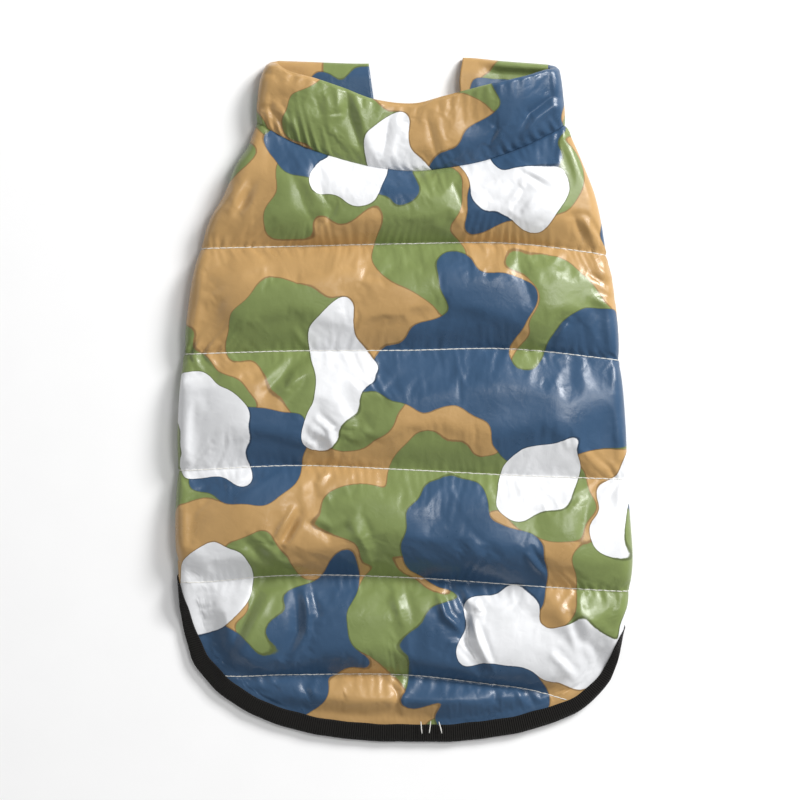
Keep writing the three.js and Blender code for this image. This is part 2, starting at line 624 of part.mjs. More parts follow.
// The collar: a padded band from one throat end round the back of the neck to the other
function collar() {
  const neckRow = flatRows[0];
  const base = [edgeAt(0), ...neckRow.points, edgeAt(EDGE_LENGTH)];
  const start = foldStart(NECK_SIDES.left).left;
  const end = foldStart(NECK_SIDES.right).right;
  const throatPast = {
    left: FOLD_LENGTH + (THROAT.left - start),
    right: FOLD_LENGTH + (end - THROAT.right),
  };
  const seamPast = { left: start - base[0].x, right: base[base.length - 1].x - end };
  const marks = [];
  for (let i = 0; i < THROAT_STEPS; i += 1) {
    const share = lerp(throatPast.left, seamPast.left, i / THROAT_STEPS);
    marks.push({ zone: "left", share, seam: NECK_SIDES.left });
  }
  for (const p of base) {
    if (p.x < start) marks.push({ zone: "left", share: start - p.x, seam: p.y });
    else if (p.x > end) marks.push({ zone: "right", share: p.x - end, seam: p.y });
    else marks.push({ zone: "band", share: (p.x - start) / (end - start), seam: p.y });
  }
  for (let i = THROAT_STEPS - 1; i >= 0; i -= 1) {
    const share = lerp(throatPast.right, seamPast.right, i / THROAT_STEPS);
    marks.push({ zone: "right", share, seam: NECK_SIDES.right });
  }
  const rows = COLLAR_ROWS.map((up) => {
    const sides = { left: collarAt("left")(up), right: collarAt("right")(up) };
    const open = { left: collarAt("throatLeft")(up), right: collarAt("throatRight")(up) };
    const starts = { left: sides.left + FOLD_REACH, right: sides.right - FOLD_REACH };
    const lengths = {
      left: FOLD_LENGTH + (open.left - starts.left),
      right: FOLD_LENGTH + (starts.right - open.right),
    };
    const rounded = COLLAR_RISE * pillow(lerp(0, COLLAR_TOP, up));
    const thinned = COLLAR_THIN.by * smoothstep(up, COLLAR_THIN.from, 1);
    return marks.map((mark) => {
      let across = lerp(starts.left, starts.right, mark.share);
      let x = across;
      if (mark.zone !== "band") {
        const outward = mark.zone === "left" ? -1 : 1;
        const longest = throatPast[mark.zone];
        const beyond = Math.max(mark.share - FOLD_LENGTH, 0) / (longest - FOLD_LENGTH);
        const past = Math.min(mark.share, FOLD_LENGTH) + beyond * (lengths[mark.zone] - FOLD_LENGTH);
        across = starts[mark.zone] + outward * past;
        x = starts[mark.zone] - outward * Math.max(past - FOLD_LENGTH, 0);
      }
      const under = mark.zone === "band" ? 0 : smoothstep(mark.share, 0, FOLD_LENGTH);
      const low = mark.seam + SEAM_GAP;
      const high = lerp(bandTop(x), frontTop(x), under);
      const y = lerp(low, high, up);
      const floor = BACK_FLOOR + collarLift(x) * up ** 1.5 * (1 - under);
      const sunk = foldDepth(x, y) * (1 - under) * up * (1 - up) * 3;
      const wall = Math.max(STITCHED + rounded - sunk, COLLAR_THIN.least);
      const below = BELLY_WALL - thinned;
      const reach = FOLD_REACH - NIP * (1 - pillow(lerp(0, COLLAR_TOP, up)));
      const pair = folded(across, y, sides, floor, wall, below, reach);
      if (up === 1) {
        const middle = pair.outer.clone().add(pair.inner).multiplyScalar(0.5);
        pair.outer.lerp(middle, 0.25);
        pair.inner.lerp(middle, 0.2);
      }
      return pair;
    });
  });
  return wallOfRows(rows);
}

// Hook strip and loop strip between the two laps
const STRIP = { width: 13, length: 150, corner: 3, low: -66, cornerSteps: 3 };

function closureStrip(level) {
  const { width, length, corner } = STRIP;
  const shape = new THREE.Shape();
  shape.moveTo(corner, 0);
  shape.lineTo(width - corner, 0);
  shape.absarc(width - corner, corner, corner, -Math.PI / 2, 0, false);
  shape.lineTo(width, length - corner);
  shape.absarc(width - corner, length - corner, corner, 0, Math.PI / 2, false);
  shape.lineTo(corner, length);
  shape.absarc(corner, length - corner, corner, Math.PI / 2, Math.PI, false);
  shape.lineTo(0, corner);
  shape.absarc(corner, corner, corner, Math.PI, 1.5 * Math.PI, false);
  const cut = { depth: STRIP_WALL, bevelEnabled: false, curveSegments: STRIP.cornerSteps };
  const strip = new THREE.ExtrudeGeometry(shape, cut);
  strip.translate(middleFront - width / 2, STRIP.low, level);
  return strip;
}

const printedShell = { color: 0x6f7f45, roughness: 0.42, metalness: 0 };
const ribbedTape = { color: 0x17140f, roughness: 0.9, metalness: 0 };
const closureNylon = { color: 0x24221f, roughness: 0.85, metalness: 0 };
const hookLevel = LAP_WALL + SEAM_GAP;
const loopLevel = hookLevel + STRIP_WALL + SEAM_GAP;
const vest = new THREE.Group();

function add(name, geometry, finish) {
  const mesh = new THREE.Mesh(geometry, new THREE.MeshStandardMaterial(finish));
  mesh.name = name;
  vest.add(mesh);
}

add("back_panel", backPanel(), printedShell);
add("left_front", frontPanel(-1), printedShell);
add("right_front", frontPanel(1), printedShell);
add("collar", collar(), printedShell);
add("tail_binding", tailBinding(), ribbedTape);
add("left_belly_binding", bellyBinding(-1), ribbedTape);
add("right_belly_binding", bellyBinding(1), ribbedTape);
add("hook_strip", closureStrip(hookLevel), closureNylon);
add("loop_strip", closureStrip(loopLevel), closureNylon);

// The origin is at the middle of the garment, on the floor.
const bounds = new THREE.Box3().setFromObject(vest);
const centre = bounds.getCenter(new THREE.Vector3());
vest.position.set(-centre.x, -centre.y, -bounds.min.z);

export default vest;
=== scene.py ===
"""A quilted winter vest for a small dog, laid flat with its back up."""
import math
import random

import bpy
import numpy as np
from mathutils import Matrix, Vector


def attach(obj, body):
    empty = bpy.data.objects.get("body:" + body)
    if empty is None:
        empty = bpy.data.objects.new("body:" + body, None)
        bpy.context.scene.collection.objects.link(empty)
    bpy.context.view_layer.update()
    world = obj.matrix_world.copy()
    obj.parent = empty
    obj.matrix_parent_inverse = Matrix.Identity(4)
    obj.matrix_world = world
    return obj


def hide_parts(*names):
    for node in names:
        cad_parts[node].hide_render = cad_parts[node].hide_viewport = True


bl_info = {
    "name": "Quilted dog vest",
    "version": (1, 0, 0),
    "blender": (4, 5, 0),
    "location": "View3D > Sidebar > Vest",
    "description": "Builds a quilted dog vest laid flat, piece by piece, around its loaded frame",
    "category": "Add Mesh",
}

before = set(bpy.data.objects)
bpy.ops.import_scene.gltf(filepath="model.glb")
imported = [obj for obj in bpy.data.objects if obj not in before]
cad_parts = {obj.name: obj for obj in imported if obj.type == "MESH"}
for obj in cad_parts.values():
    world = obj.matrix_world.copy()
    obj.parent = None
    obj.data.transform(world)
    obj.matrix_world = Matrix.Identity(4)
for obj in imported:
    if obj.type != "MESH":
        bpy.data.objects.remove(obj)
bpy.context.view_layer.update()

MM = 0.001
SHIFT = (0.277, 0.777)  # mm from the tables below to the frame's origin

# Driving sizes in mm, the same as the solids'
BELLY_WALL = 7.0
LAYER_GAP = 0.6
BACK_FLOOR = BELLY_WALL + LAYER_GAP
SEAM_GAP = 0.3
STITCHED = 3.0
SIDE_SHARE = 0.5
FOLD_REACH = 7.0
FOLD_INSIDE = (0.4, 3.4)
FOLD_LENGTH = 22.0
NIP = 1.4
TAPE = 1.0
BINDING_WIDTH = 9.0
HEM_WALL = 5.0
MARGIN = 10.5
TAIL_DROP = 24.0
COLLAR_RISE = 4.5
LAP_WIDTH = 18.0
LAP_WALL = 2.2
STRIP_WALL = 0.7
PILLOW_ROUND = 3.0
CROWN = 10.4  # mean rise of the padding in the middle of a channel
ARMHOLE = {"centre": 88.0, "half": 38.0, "depth": 40.0}
THROAT = {"left": -15.8, "right": 32.3}
NECK_SIDES = {"left": 154.6, "right": 152.9}
SEAM_END = {"left": -88.0, "right": -118.0}
TAIL_CORNERS = {"left": -80.6, "right": 87.8}

# Side folds and, underneath, the side seams: y, left, right
SIDES = (
    (-190, -124, 121), (-147, -124.2, 121.5), (-134, -124.8, 122.8), (-116, -126.2, 126.2),
    (-92, -127.8, 128), (-63, -128.3, 126.4), (-35, -127.6, 125.2), (0, -126.2, 123),
    (27, -124, 121), (45, -122, 119.2), (77, -117, 115), (100, -109.4, 110.2),
    (115, -101, 106.4), (131, -94.6, 100.2), (142, -88, 96), (154, -84, 91.4),
)
SIDE_SEAMS = ((-118, -103.4, 101), (0, -100, 97), (77, -88, 87), (155, -59, 66))
# Hem of the back on the flat cloth, from the left seam round the tail to the right seam: x, y
HEM = (
    (-150, -93.5), (-139, -99), (-131.2, -104.5), (-126.2, -115), (-123.6, -125), (-121, -134.2),
    (-117, -146), (-110, -155.8), (-100.7, -165.2), (-80.6, -176.8), (-62, -183.5), (-25.3, -189.5),
    (9.4, -190.4), (33, -190), (51.2, -187.6), (69.5, -184.1), (87.8, -178), (97, -173.5),
    (106.4, -166), (114.3, -156.1), (118.9, -147), (121.5, -140.5), (126.5, -134), (136, -128),
    (147, -123),
)
BELLY_HEM = ((-130, -108), (-103, -88), (-50, -77), (8, -74), (60, -92), (101, -118), (130, -138))
# Neck seam of the back and top edge of the collar's back band: x, seam, top
NECK = (
    (-84, 154.6, 190.4), (-77, 151.6, 191), (-65, 145, 183.4), (-50, 138.8, 179), (-34, 133.8, 173.6),
    (-17, 129.8, 167.4), (5, 127.4, 165), (22, 129, 169), (44, 133, 174.4), (66, 140.6, 179.4),
    (80, 147.4, 184.2), (91.4, 152.9, 186.8),
)
# Share of the way up the collar, its two side folds and its two throat ends
COLLAR_SIDES = (
    (0, -84, 91.4, -15.8, 32.3), (0.35, -82.6, 89.8, -17, 31.8),
    (0.7, -80.6, 88.4, -18.6, 31), (1, -77.4, 87.2, -20, 32.9),
)
COLLAR_FRONT = ((-84, 190.4), (-54, 189.3), (-20, 188.4), (33, 191.6), (56, 189.6), (91, 187))
COLLAR_LIFT = ((-80, 0), (-50, 4), (-5, 2), (25, 4), (60, 9), (84, 0))
# Stitch lines across the back: y at five stations across
STATIONS = (-120, -60, 0, 60, 120)
STITCHES = (
    (84, 85.4, 86.8, 87, 79.8),
    (25.2, 26.9, 27.2, 28, 21.8),
    (-39.8, -37.2, -39.5, -42.6, -44.8),
    (-102.5, -98.8, -100.2, -103.9, -107.5),
    (-155.7, -154.8, -154.9, -161.5, -167.4),
)


def smoothstep(value, low, high):
    share = np.clip((value - low) / (high - low), 0, 1)
    return share * share * (3 - 2 * share)


def lerp(low, high, share):
    return low + (high - low) * share


def unit(vectors):
    """The same directions at a length of one."""
    return vectors / np.maximum(np.linalg.norm(vectors, axis=-1, keepdims=True), 1e-6)


def run_of(line):
    """How far along a line each of its points lies."""
    return np.concatenate([[0], np.cumsum(np.linalg.norm(np.diff(line, axis=0), axis=1))])


def places_at(distance, run, line):
    return np.column_stack([np.interp(distance, run, column) for column in line.T])


def level(x, y):
    """Points of the flat cloth at many x and one y."""
    return np.column_stack([x, np.full(len(x), float(y))])


def curve_of(table, column):
    """Reads one column of a table as a smooth curve over its first column."""
    at = np.array([row[0] for row in table], float)
    value = np.array([row[column] for row in table], float)
    low = np.maximum(np.arange(len(at)) - 1, 0)
    high = np.minimum(np.arange(len(at)) + 1, len(at) - 1)
    slope = (value[high] - value[low]) / (at[high] - at[low])

    def read(x):
        held = np.clip(x, at[0], at[-1])
        i = np.clip(np.searchsorted(at, held, side="right") - 1, 0, len(at) - 2)
        span = at[i + 1] - at[i]
        t = (held - at[i]) / span
        rise = t * t * (3 - 2 * t)
        start = t * (1 - t) ** 2 * span * slope[i]
        end = t * t * (t - 1) * span * slope[i + 1]
        return value[i] + (value[i + 1] - value[i]) * rise + start + end

    return read


side_left = curve_of(SIDES, 1)
side_right = curve_of(SIDES, 2)
seam_left = curve_of(SIDE_SEAMS, 1)
seam_right = curve_of(SIDE_SEAMS, 2)
belly_hem = curve_of(BELLY_HEM, 1)
neck_seam = curve_of(NECK, 1)
band_top = curve_of(NECK, 2)
front_top = curve_of(COLLAR_FRONT, 1)
collar_lift = curve_of(COLLAR_LIFT, 1)
stitch_curves = [curve_of(tuple(zip(STATIONS, row)), 1) for row in STITCHES]
row_curves = [neck_seam, *stitch_curves]


def fold_starts(y):
    return side_left(y) + FOLD_REACH, side_right(y) - FOLD_REACH


def flat_seams(y):
    """Both side seams on the flat cloth, which runs on underneath past each side fold."""
    left, right = fold_starts(y)
    return 2 * left - FOLD_LENGTH - seam_left(y), 2 * right + FOLD_LENGTH - seam_right(y)


def between(first, second, at, start, end):
    return ((end - at) * first + (at - start) * second) / (end - start)


def rounded(points, count):
    """A centripetal curve through points, given back as count + 1 even steps."""
    points = np.array(points, float)
    knots = np.vstack([2 * points[0] - points[1], points, 2 * points[-1] - points[-2]])
    fine = []
    for i in range(len(knots) - 3):
        p = knots[i:i + 4]
        t = np.cumsum([0, *np.maximum(np.linalg.norm(np.diff(p, axis=0), axis=1), 1e-6) ** 0.5])
        for u in np.linspace(t[1], t[2], 24, endpoint=False):
            first = [between(p[j], p[j + 1], u, t[j], t[j + 1]) for j in range(3)]
            second = [between(first[j], first[j + 1], u, t[j], t[j + 2]) for j in range(2)]
            fine.append(between(*second, u, t[1], t[2]))
    fine = np.array([*fine, points[-1]])
    run = run_of(fine)
    return places_at(np.linspace(0, run[-1], count + 1), run, fine)


def trace_edge():
    """Edge of the back panel on the flat cloth: left seam, hem, right seam."""
    step = 2.0
    left_end, right_end = SEAM_END["left"], SEAM_END["right"]
    down = np.arange(NECK_SIDES["left"], left_end, -step)
    up = np.append(np.arange(right_end + step, NECK_SIDES["right"], step), NECK_SIDES["right"])
    hem_ends = (flat_seams(left_end)[0], left_end), (flat_seams(right_end)[1], right_end)
    left = np.column_stack([flat_seams(down)[0], down])
    hem = rounded([hem_ends[0], *HEM, hem_ends[1]], 230)
    right = np.column_stack([flat_seams(up)[1], up])
    return np.vstack([left, hem, right]), len(left), len(left) + len(hem) - 1


edge, first_hem, last_hem = trace_edge()
travel = run_of(edge)
EDGE_LENGTH = travel[-1]
HEM_START = travel[first_hem]
HEM_END = travel[last_hem]
hem_points = edge[first_hem:last_hem + 1]


def edge_at(distance):
    return places_at(distance, travel, edge)


def inward_at(distance):
    """Directions into the cloth from its edge: level along the side seams, square to the hem."""
    distance = np.atleast_1d(distance)
    along = edge_at(distance + 7) - edge_at(distance - 7)
    square = unit(np.column_stack([-along[:, 1], along[:, 0]]))
    share = smoothstep(distance, HEM_START - 15, HEM_START + 30)
    share = share * (1 - smoothstep(distance, HEM_END - 30, HEM_END + 15))
    return unit(lerp(level(np.where(distance < EDGE_LENGTH / 2, 1.0, -1.0), 0), square, share[:, None]))


def inset(distance, depth):
    return edge_at(np.atleast_1d(distance)) + inward_at(distance) * depth


def hem_distance(flat):
    nearest = np.full(len(flat), 1e9)
    for p in hem_points[::2]:
        nearest = np.minimum(nearest, (flat[:, 0] - p[0]) ** 2 + (flat[:, 1] - p[1]) ** 2)
    return np.sqrt(nearest)


def folded(across, y, sides, floor, wall, under, reach, inside):
    """Lays points of flat cloth on the garment. Past a side fold, the cloth turns under."""
    outward = np.where(across < (sides[0] + sides[1]) / 2, -1.0, 1.0)
    start = np.where(outward < 0, sides[0] + FOLD_REACH, sides[1] - FOLD_REACH)
    past = (across - start) * outward
    turn = np.pi * (0.5 - np.clip(past / FOLD_LENGTH, 0, 1))
    back = np.maximum(past - FOLD_LENGTH, 0)
    share = 0.5 + 0.5 * np.sin(turn)
    on_top = past <= 0
    out_x = np.where(on_top, across, start + outward * (reach * np.cos(turn) - back))
    in_x = np.where(on_top, across, start + outward * (inside * np.cos(turn) - back))
    out_z = np.where(on_top, floor + wall, (floor + wall) * share)
    in_z = np.where(on_top, floor, under + (floor - under) * share)
    return np.column_stack([out_x, y, out_z]), np.column_stack([in_x, y, in_z])


def squeeze(outer, inner, by):
    shift = unit(outer - inner) * np.broadcast_to(by, len(outer))[:, None]
    return outer - shift, inner + shift


def pillow(share):
    return 1 - np.abs(2 * share - 1) ** PILLOW_ROUND


def back_floor(x, y):
    return BACK_FLOOR * (1 - smoothstep(belly_hem(x) - 2 - y, 0, TAIL_DROP))


def back_wall(flat, rise, crown):
    """Both faces of the back panel at points of its flat cloth. Rise is 0 on a stitch line and 1 at a crown."""
    across, y = flat[:, 0], flat[:, 1]
    sides = (side_left(y), side_right(y))
    seen = np.clip(across, *sides)
    from_hem = hem_distance(flat)
    margin = 1 - smoothstep(from_hem, MARGIN, MARGIN + 8)
    inside = np.minimum(seen - sides[0], sides[1] - seen) - FOLD_REACH
    side_round = lerp(SIDE_SHARE, 1, smoothstep(inside, 0, 34))
    puff = crown * rise * side_round * smoothstep(from_hem, MARGIN - 1.5, MARGIN + 14)
    wall = lerp(STITCHED, HEM_WALL, margin) + puff
    floor = back_floor(seen, y)
    under = np.clip(floor - LAYER_GAP, 0, BELLY_WALL)
    reach = FOLD_REACH - NIP * (1 - rise) * (1 - margin)
    hollow = lerp(*FOLD_INSIDE, margin)
    outer, inner = folded(across, y, sides, floor, wall, under, reach, hollow)
    return squeeze(outer, inner, margin * (TAPE + SEAM_GAP))


def edge_where(y, low, high):
    for _ in range(40):
        middle = (low + high) / 2
        if inset(middle, MARGIN)[0, 1] > y:
            low = middle
        else:
            high = middle
    return (low + high) / 2


def edge_corner(x):
    near = np.arange(HEM_START, HEM_END, 0.5)
    places = edge_at(near)
    return near[np.argmin(np.abs(places[:, 0] - x) + np.where(places[:, 1] > -150, 99, 0))]


LOWEST = edge_corner(0)
left_at = [0, *(edge_where(row[0], 0, LOWEST) for row in STITCHES), edge_corner(TAIL_CORNERS["left"])]
right_at = [
    EDGE_LENGTH,
    *(edge_where(row[-1], EDGE_LENGTH, LOWEST) for row in STITCHES),
    edge_corner(TAIL_CORNERS["right"]),
]
MARGIN_COLUMNS = 6
SIDE_COLUMNS = 24
TOP_COLUMNS = 196
COLUMNS = 2 * (MARGIN_COLUMNS + SIDE_COLUMNS) + TOP_COLUMNS
LEAST_SIDE = 8.0
CHANNEL_ROWS = (44, 52, 56, 54, 50, 24)
LINING_STEP = 2


def row_line(k):
    """Points of the flat cloth along the neck seam, a stitch line or the tail, from edge to edge."""
    if k == len(row_curves):
        return edge_at(np.linspace(left_at[k], right_at[k], COLUMNS + 1))
    ends = np.array([left_at[k], right_at[k]])
    edges, ring = edge_at(ends), inset(ends, MARGIN)
    inner_left = max(fold_starts(ring[0, 1])[0], ring[0, 0] + LEAST_SIDE)
    inner_right = min(fold_starts(ring[1, 1])[1], ring[1, 0] - LEAST_SIDE)
    stops = np.cumsum([0, SIDE_COLUMNS, TOP_COLUMNS, SIDE_COLUMNS])
    x = np.interp(np.arange(stops[-1] + 1), stops, [ring[0, 0], inner_left, inner_right, ring[1, 0]])
    share = (x - x[0]) / (x[-1] - x[0])
    base = row_curves[k](np.clip(x, side_left(ring[0, 1]), side_right(ring[1, 1])))
    missed = lerp(ring[0, 1] - base, ring[1, 1] - base, share)
    at_end = np.maximum(0, np.abs(share - 0.5) * 2 - 0.7) / 0.3
    middle = np.column_stack([x, base + missed * at_end ** 2])
    out = np.linspace(0, 1, MARGIN_COLUMNS, endpoint=False)[:, None]
    return np.vstack([lerp(edges[0], ring[0], out), middle, lerp(edges[1], ring[1], out)[::-1]])


row_lines = [row_line(k) for k in range(len(row_curves) + 1)]


def flat_back():
    """The flat cloth of the back as rows of points, with each row's channel and share of it."""
    rows, places = [], []
    q = np.arange(COLUMNS + 1) / COLUMNS
    for k, count in enumerate(CHANNEL_ROWS):
        for i in range(0 if k == 0 else 1, count + 1):
            share = i / count
            ends = edge_at(np.array([lerp(at[k], at[k + 1], share) for at in (left_at, right_at)]))
            row = lerp(row_lines[k], row_lines[k + 1], share)
            rows.append(row + np.outer(1 - q, ends[0] - row[0]) + np.outer(q, ends[1] - row[-1]))
            places.append((k, share))
    return np.array(rows), places


# Folds in mm: depth (below zero for a ridge), half width, then points along the fold
FOLDS = (
    (-1.4, 2.4, 62, 130, 78, 122), (1.5, 2.6, 66, 126, 80, 117), (-1.4, 2.2, 75, 114, 67, 105),
    (-1.2, 2, 65, 118, 58, 110), (-1.1, 2.2, 84, 112, 76, 102), (2.6, 2.8, 94, 102, 103, 85),
    (-1.8, 2.5, 99, 99, 109, 84), (-1.5, 3, -90, 120, -97, 106), (1.5, 3, -86, 118, -93, 104),
    (-1.2, 2.6, -45, 98, -51, 88), (1.2, 4, -64, 128, -52, 100), (1, 4, 26, 126, 34, 102),
    (1.3, 3.5, -72, 84, -110, 71), (-1.3, 2, -61, 37, -56, 28), (1.9, 2.6, 101, 71, 113, 64),
    (-1.5, 3, 104, 57, 114, 51), (2.2, 2.8, 87, 42, 79, 29), (-1.8, 2.4, 92, 43, 82, 29),
    (1.2, 4, 62, 82, 70, 56), (1, 4, -16, 86, -24, 64), (1.1, 3.4, 20, 44, 12, 30),
    (3.4, 4.2, -54, 26, -68, 13, -76, 4), (3, 4, -88, 25, -107, 15, -118, 12), (-1.6, 4, -58, 18, -66, 6),
    (1.6, 4.5, -11, 22, -22, 9), (1.3, 4, 92, 20, 93, 6), (2.3, 3, -54, -20, -44, -28),
    (-1.9, 2.2, -49, -12, -42, -18, -39, -33), (-1.4, 2, -49, -22, -51, -29), (-1.3, 3, -22, -19, -30, -26),
    (-2.4, 2.2, -42, -39, -48, -47), (-1.7, 2.6, -83, -39, -98, -47), (1.4, 3, -80, -42, -94, -50),
    (-2.5, 2.2, -62, -62, -72, -79), (2.4, 2.6, -58, -64, -69, -82), (-1.6, 4, -57, -45, -56, -55),
    (1.4, 4, -43, -57, -32, -50), (2, 2.6, -52, -70, -41, -76, -33, -72), (1, 2.2, -106, -45, -123, -58),
    (2.5, 3, -87, -81, -72, -94), (-1.7, 3.5, -29, -68, -21, -85), (-1.3, 4, 30, -77, 46, -91),
    (-2, 2.2, 69, -88, 80, -102), (1.4, 3, 100, -43, 88, -50), (1.6, 5, 104, -50, 98, -80),
    (-3.2, 2.2, 24, -104, 19, -109, 23, -121, 34, -131), (5.4, 3, 26, -105, 36, -119, 35, -136, 43, -150),
    (-2.8, 2, 35, -113, 39, -128, 46, -146), (-1.9, 1.8, 26, -136, 32, -136, 36, -141, 44, -151),
    (2.9, 3.6, -78, -101, -92, -129, -98, -142), (2.7, 3.2, -61, -108, -60, -130, -67, -143),
    (-1.8, 2.6, -57, -104, -53, -120), (-2, 3.4, -6, -106, -1, -124), (2.2, 4, 91, -113, 96, -133),
    (-1.8, 2.6, 92, -128, 96, -139), (-1.8, 2.4, 83, -143, 97, -158), (-1.8, 2.4, 101, -139, 110, -153),
    (-1.5, 2.6, 98, -108, 97, -118), (2.6, 2, -13, -156, -4, -164, -4, -175), (-2, 1.8, 62, -161, 66, -170),
    (2.6, 2, 68, -163, 75, -175), (1.4, 2.2, 52, -160, 50, -172), (1.3, 2.2, -58, -158, -52, -170),
)
COLLAR_FOLDS = (
    (2.3, 2.4, -75, 162, -64, 147, -58, 140), (2.3, 3, -33, 175, -30, 157, -23, 136), (-1.5, 2.6, -38, 176, -36, 158),
    (3.4, 2.8, 84, 170, 70, 160, 61, 148, 54, 138), (-2, 2.2, 67, 157, 57, 143), (1.6, 2.4, 51, 151, 47, 141),
    (1.2, 2.4, -76, 186, -70, 178), (1.1, 3, 12, 160, 18, 134), (1.2, 3, -50, 172, -46, 156),
    (1, 2, 8, 164, 6, 157), (1, 2, 20, 167, 19, 159), (1.1, 2.6, -8, 160, -12, 136),
)


def fold_depth(flat, folds):
    """Depth of the listed folds: each a trough with a low lip along its left side, fading at its ends."""
    total = np.zeros(len(flat))
    for depth, reach, *path in folds:
        points = np.array(path, float).reshape(-1, 2)
        steps = np.diff(points, axis=0)
        runs = np.linalg.norm(steps, axis=1)
        nearest = np.full(len(flat), 1e9)
        off, beyond, share = np.zeros((3, len(flat)))
        for start, step, run, done in zip(points, steps, runs, np.cumsum(runs) - runs):
            here = flat - start
            along = here @ step / run
            over = along - np.clip(along, 0, run)
            aside = (step[0] * here[:, 1] - step[1] * here[:, 0]) / run
            gap = np.hypot(aside, over)
            closer = gap < nearest
            nearest = np.where(closer, gap, nearest)
            off = np.where(closer, aside / reach, off)
            beyond = np.where(closer, over / reach, beyond)
            share = np.where(closer, (done + along - over) / runs.sum(), share)
        fade = (0.35 + 0.65 * np.sin(np.pi * np.clip(share, 0.08, 0.92))) * np.exp(-beyond ** 2)
        total += depth * fade * (np.exp(-np.abs(off) ** 1.7) - 0.35 * np.exp(-((off - 1.8) / 0.8) ** 2))
    return total


def waves(seed, count, longest, shortest):
    """A seeded sum of plane waves over the flat cloth, about -1 to 1."""
    rng = random.Random(seed)
    parts = []
    for _ in range(count):
        heading = rng.uniform(0, math.tau)
        pace = math.tau / rng.uniform(shortest, longest)
        parts.append((math.cos(heading) * pace, math.sin(heading) * pace, rng.uniform(0, math.tau)))

    def read(flat):
        total = np.zeros(len(flat))
        for a, b, phase in parts:
            total += np.sin(a * flat[:, 0] + b * flat[:, 1] + phase)
        return total / math.sqrt(count) / 1.2

    return read


def gathers(seed, x, shortest, longest):
    """A seeded uneven wave along a seam, about -1 to 1, pointed at its crests."""
    rng = random.Random(seed)
    total = np.zeros(len(x))
    for weight in (1, 0.8, 0.7, 0.5):
        pace = math.tau / rng.uniform(shortest, longest)
        drift = rng.uniform(0.4, 1.1) * np.sin(x * pace / rng.uniform(5, 9) + rng.uniform(0, math.tau))
        total += weight * np.sin(x * pace + drift + rng.uniform(0, math.tau))
    return np.sign(total) * np.abs(total / 1.9) ** 0.85


strength = waves(71, 6, 130, 45)
unevenness = waves(72, 8, 70, 26)


def puckers(flat, channel, share):
    """Short leaning gathers at the stitch lines above and below each point, in mm."""
    x, y = flat[:, 0], flat[:, 1]
    lines = [curve(x) for curve in row_curves] + [np.full(len(x), -190.0)]
    total = np.zeros(len(x))
    for k in range(len(row_curves)):
        height = np.maximum(lines[k] - lines[k + 1], 4)
        for line, gap in ((k, share * height), (k + 1, (1 - share) * height)):
            if line == len(row_curves):
                continue
            above = line == k + 1
            lean = 0.75 * strength(level(x * 1.7 + 31 * line, 40))
            wave = gathers(100 + 2 * line + (line == k), x + lean * gap, 3.4, 7.4 if above else 9.0)
            power = 0.5 + 0.55 * strength(np.column_stack([x * 1.6 + 57 * line, y * 0.2]))
            power += 0.35 * smoothstep(x, 30, 80) * (line < 3) + 0.25 * smoothstep(np.abs(x), 80, 115)
            reach = 2.0 + 1.9 * (1 + strength(level(x * 1.4 + 91 * line, 13)))
            shape = smoothstep(gap, 0, 1.6) * np.exp(-(gap / reach) ** 1.4)
            force = (1.0 if above else 0.75) * np.clip(power, 0.08, 1.5)
            total += np.where(channel == k, force * wave * shape, 0)
    return total


# The print: a generic camouflage of four colours in large soft blobs
CLOTH_FIELD = (-215, 215, -235, 235)


def blobs(seed, count, radius, links):
    """Chains of circles spread over the flat cloth, each the core of one blob."""
    rng = random.Random(seed)
    centres = []
    for _ in range(count):
        tries = [(rng.uniform(*CLOTH_FIELD[:2]), rng.uniform(*CLOTH_FIELD[2:])) for _ in range(9)]
        centres.append(max(tries, key=lambda p: min((math.dist(p, c) for c in centres), default=0)))
    chains = []
    for x, y in centres:
        heading = rng.uniform(0, math.tau)
        turn = rng.uniform(-0.7, 0.7)
        chain = []
        for _ in range(rng.randint(*links)):
            size = rng.uniform(*radius)
            chain.append((x, y, size))
            heading += turn + rng.uniform(-0.5, 0.5)
            x += math.cos(heading) * size * 1.45
            y += math.sin(heading) * size * 1.45
        chains.append(chain)
    return chains


def blob_distance(chains, flat, softness):
    """How far each point lies outside the blobs that melt together from chains of circles, in mm."""
    joined = np.zeros(len(flat))
    for chain in chains:
        for x, y, size in chain:
            off = np.hypot(flat[:, 0] - x, flat[:, 1] - y) - size
            joined += np.exp(-np.clip(off, -60, 150) / softness)
    return -softness * np.log(np.maximum(joined, 1e-14))


warp_x = waves(16, 7, 90, 40)
warp_y = waves(37, 7, 90, 40)
fine_warp_x = waves(8, 8, 36, 19)
fine_warp_y = waves(9, 8, 36, 19)
PRINT = {
    "olive": blobs(90, 44, (5, 15.5), (3, 5)),
    "navy": blobs(91, 32, (6, 16.5), (3, 6)),
    "white": blobs(92, 23, (5.5, 16.5), (3, 6)),
}
PRINT_SHARE = {"white": 0.22, "navy": 0.31, "olive": 0.26}


def raw_print(flat):
    bent = flat + np.column_stack([warp_x(flat), warp_y(flat)]) * 8.0
    bent += np.column_stack([fine_warp_x(flat), fine_warp_y(flat)]) * 2.2
    return {name: blob_distance(chains, bent, 3.6) for name, chains in PRINT.items()}


def print_levels():
    """The level at which each colour covers its share of the cloth."""
    side = np.arange(-170, 171, 4.0)
    flat = np.array(np.meshgrid(side, np.arange(-190, 195, 4.0))).reshape(2, -1).T
    fields = raw_print(flat)
    covered = np.zeros(len(flat), bool)
    levels = {}
    for name in ("white", "navy", "olive"):
        free = fields[name][~covered]
        wanted = PRINT_SHARE[name] * len(flat)
        levels[name] = np.sort(free)[int(min(wanted, len(free) - 1))]
        covered |= fields[name] < levels[name]
    return levels


PRINT_LEVELS = print_levels()


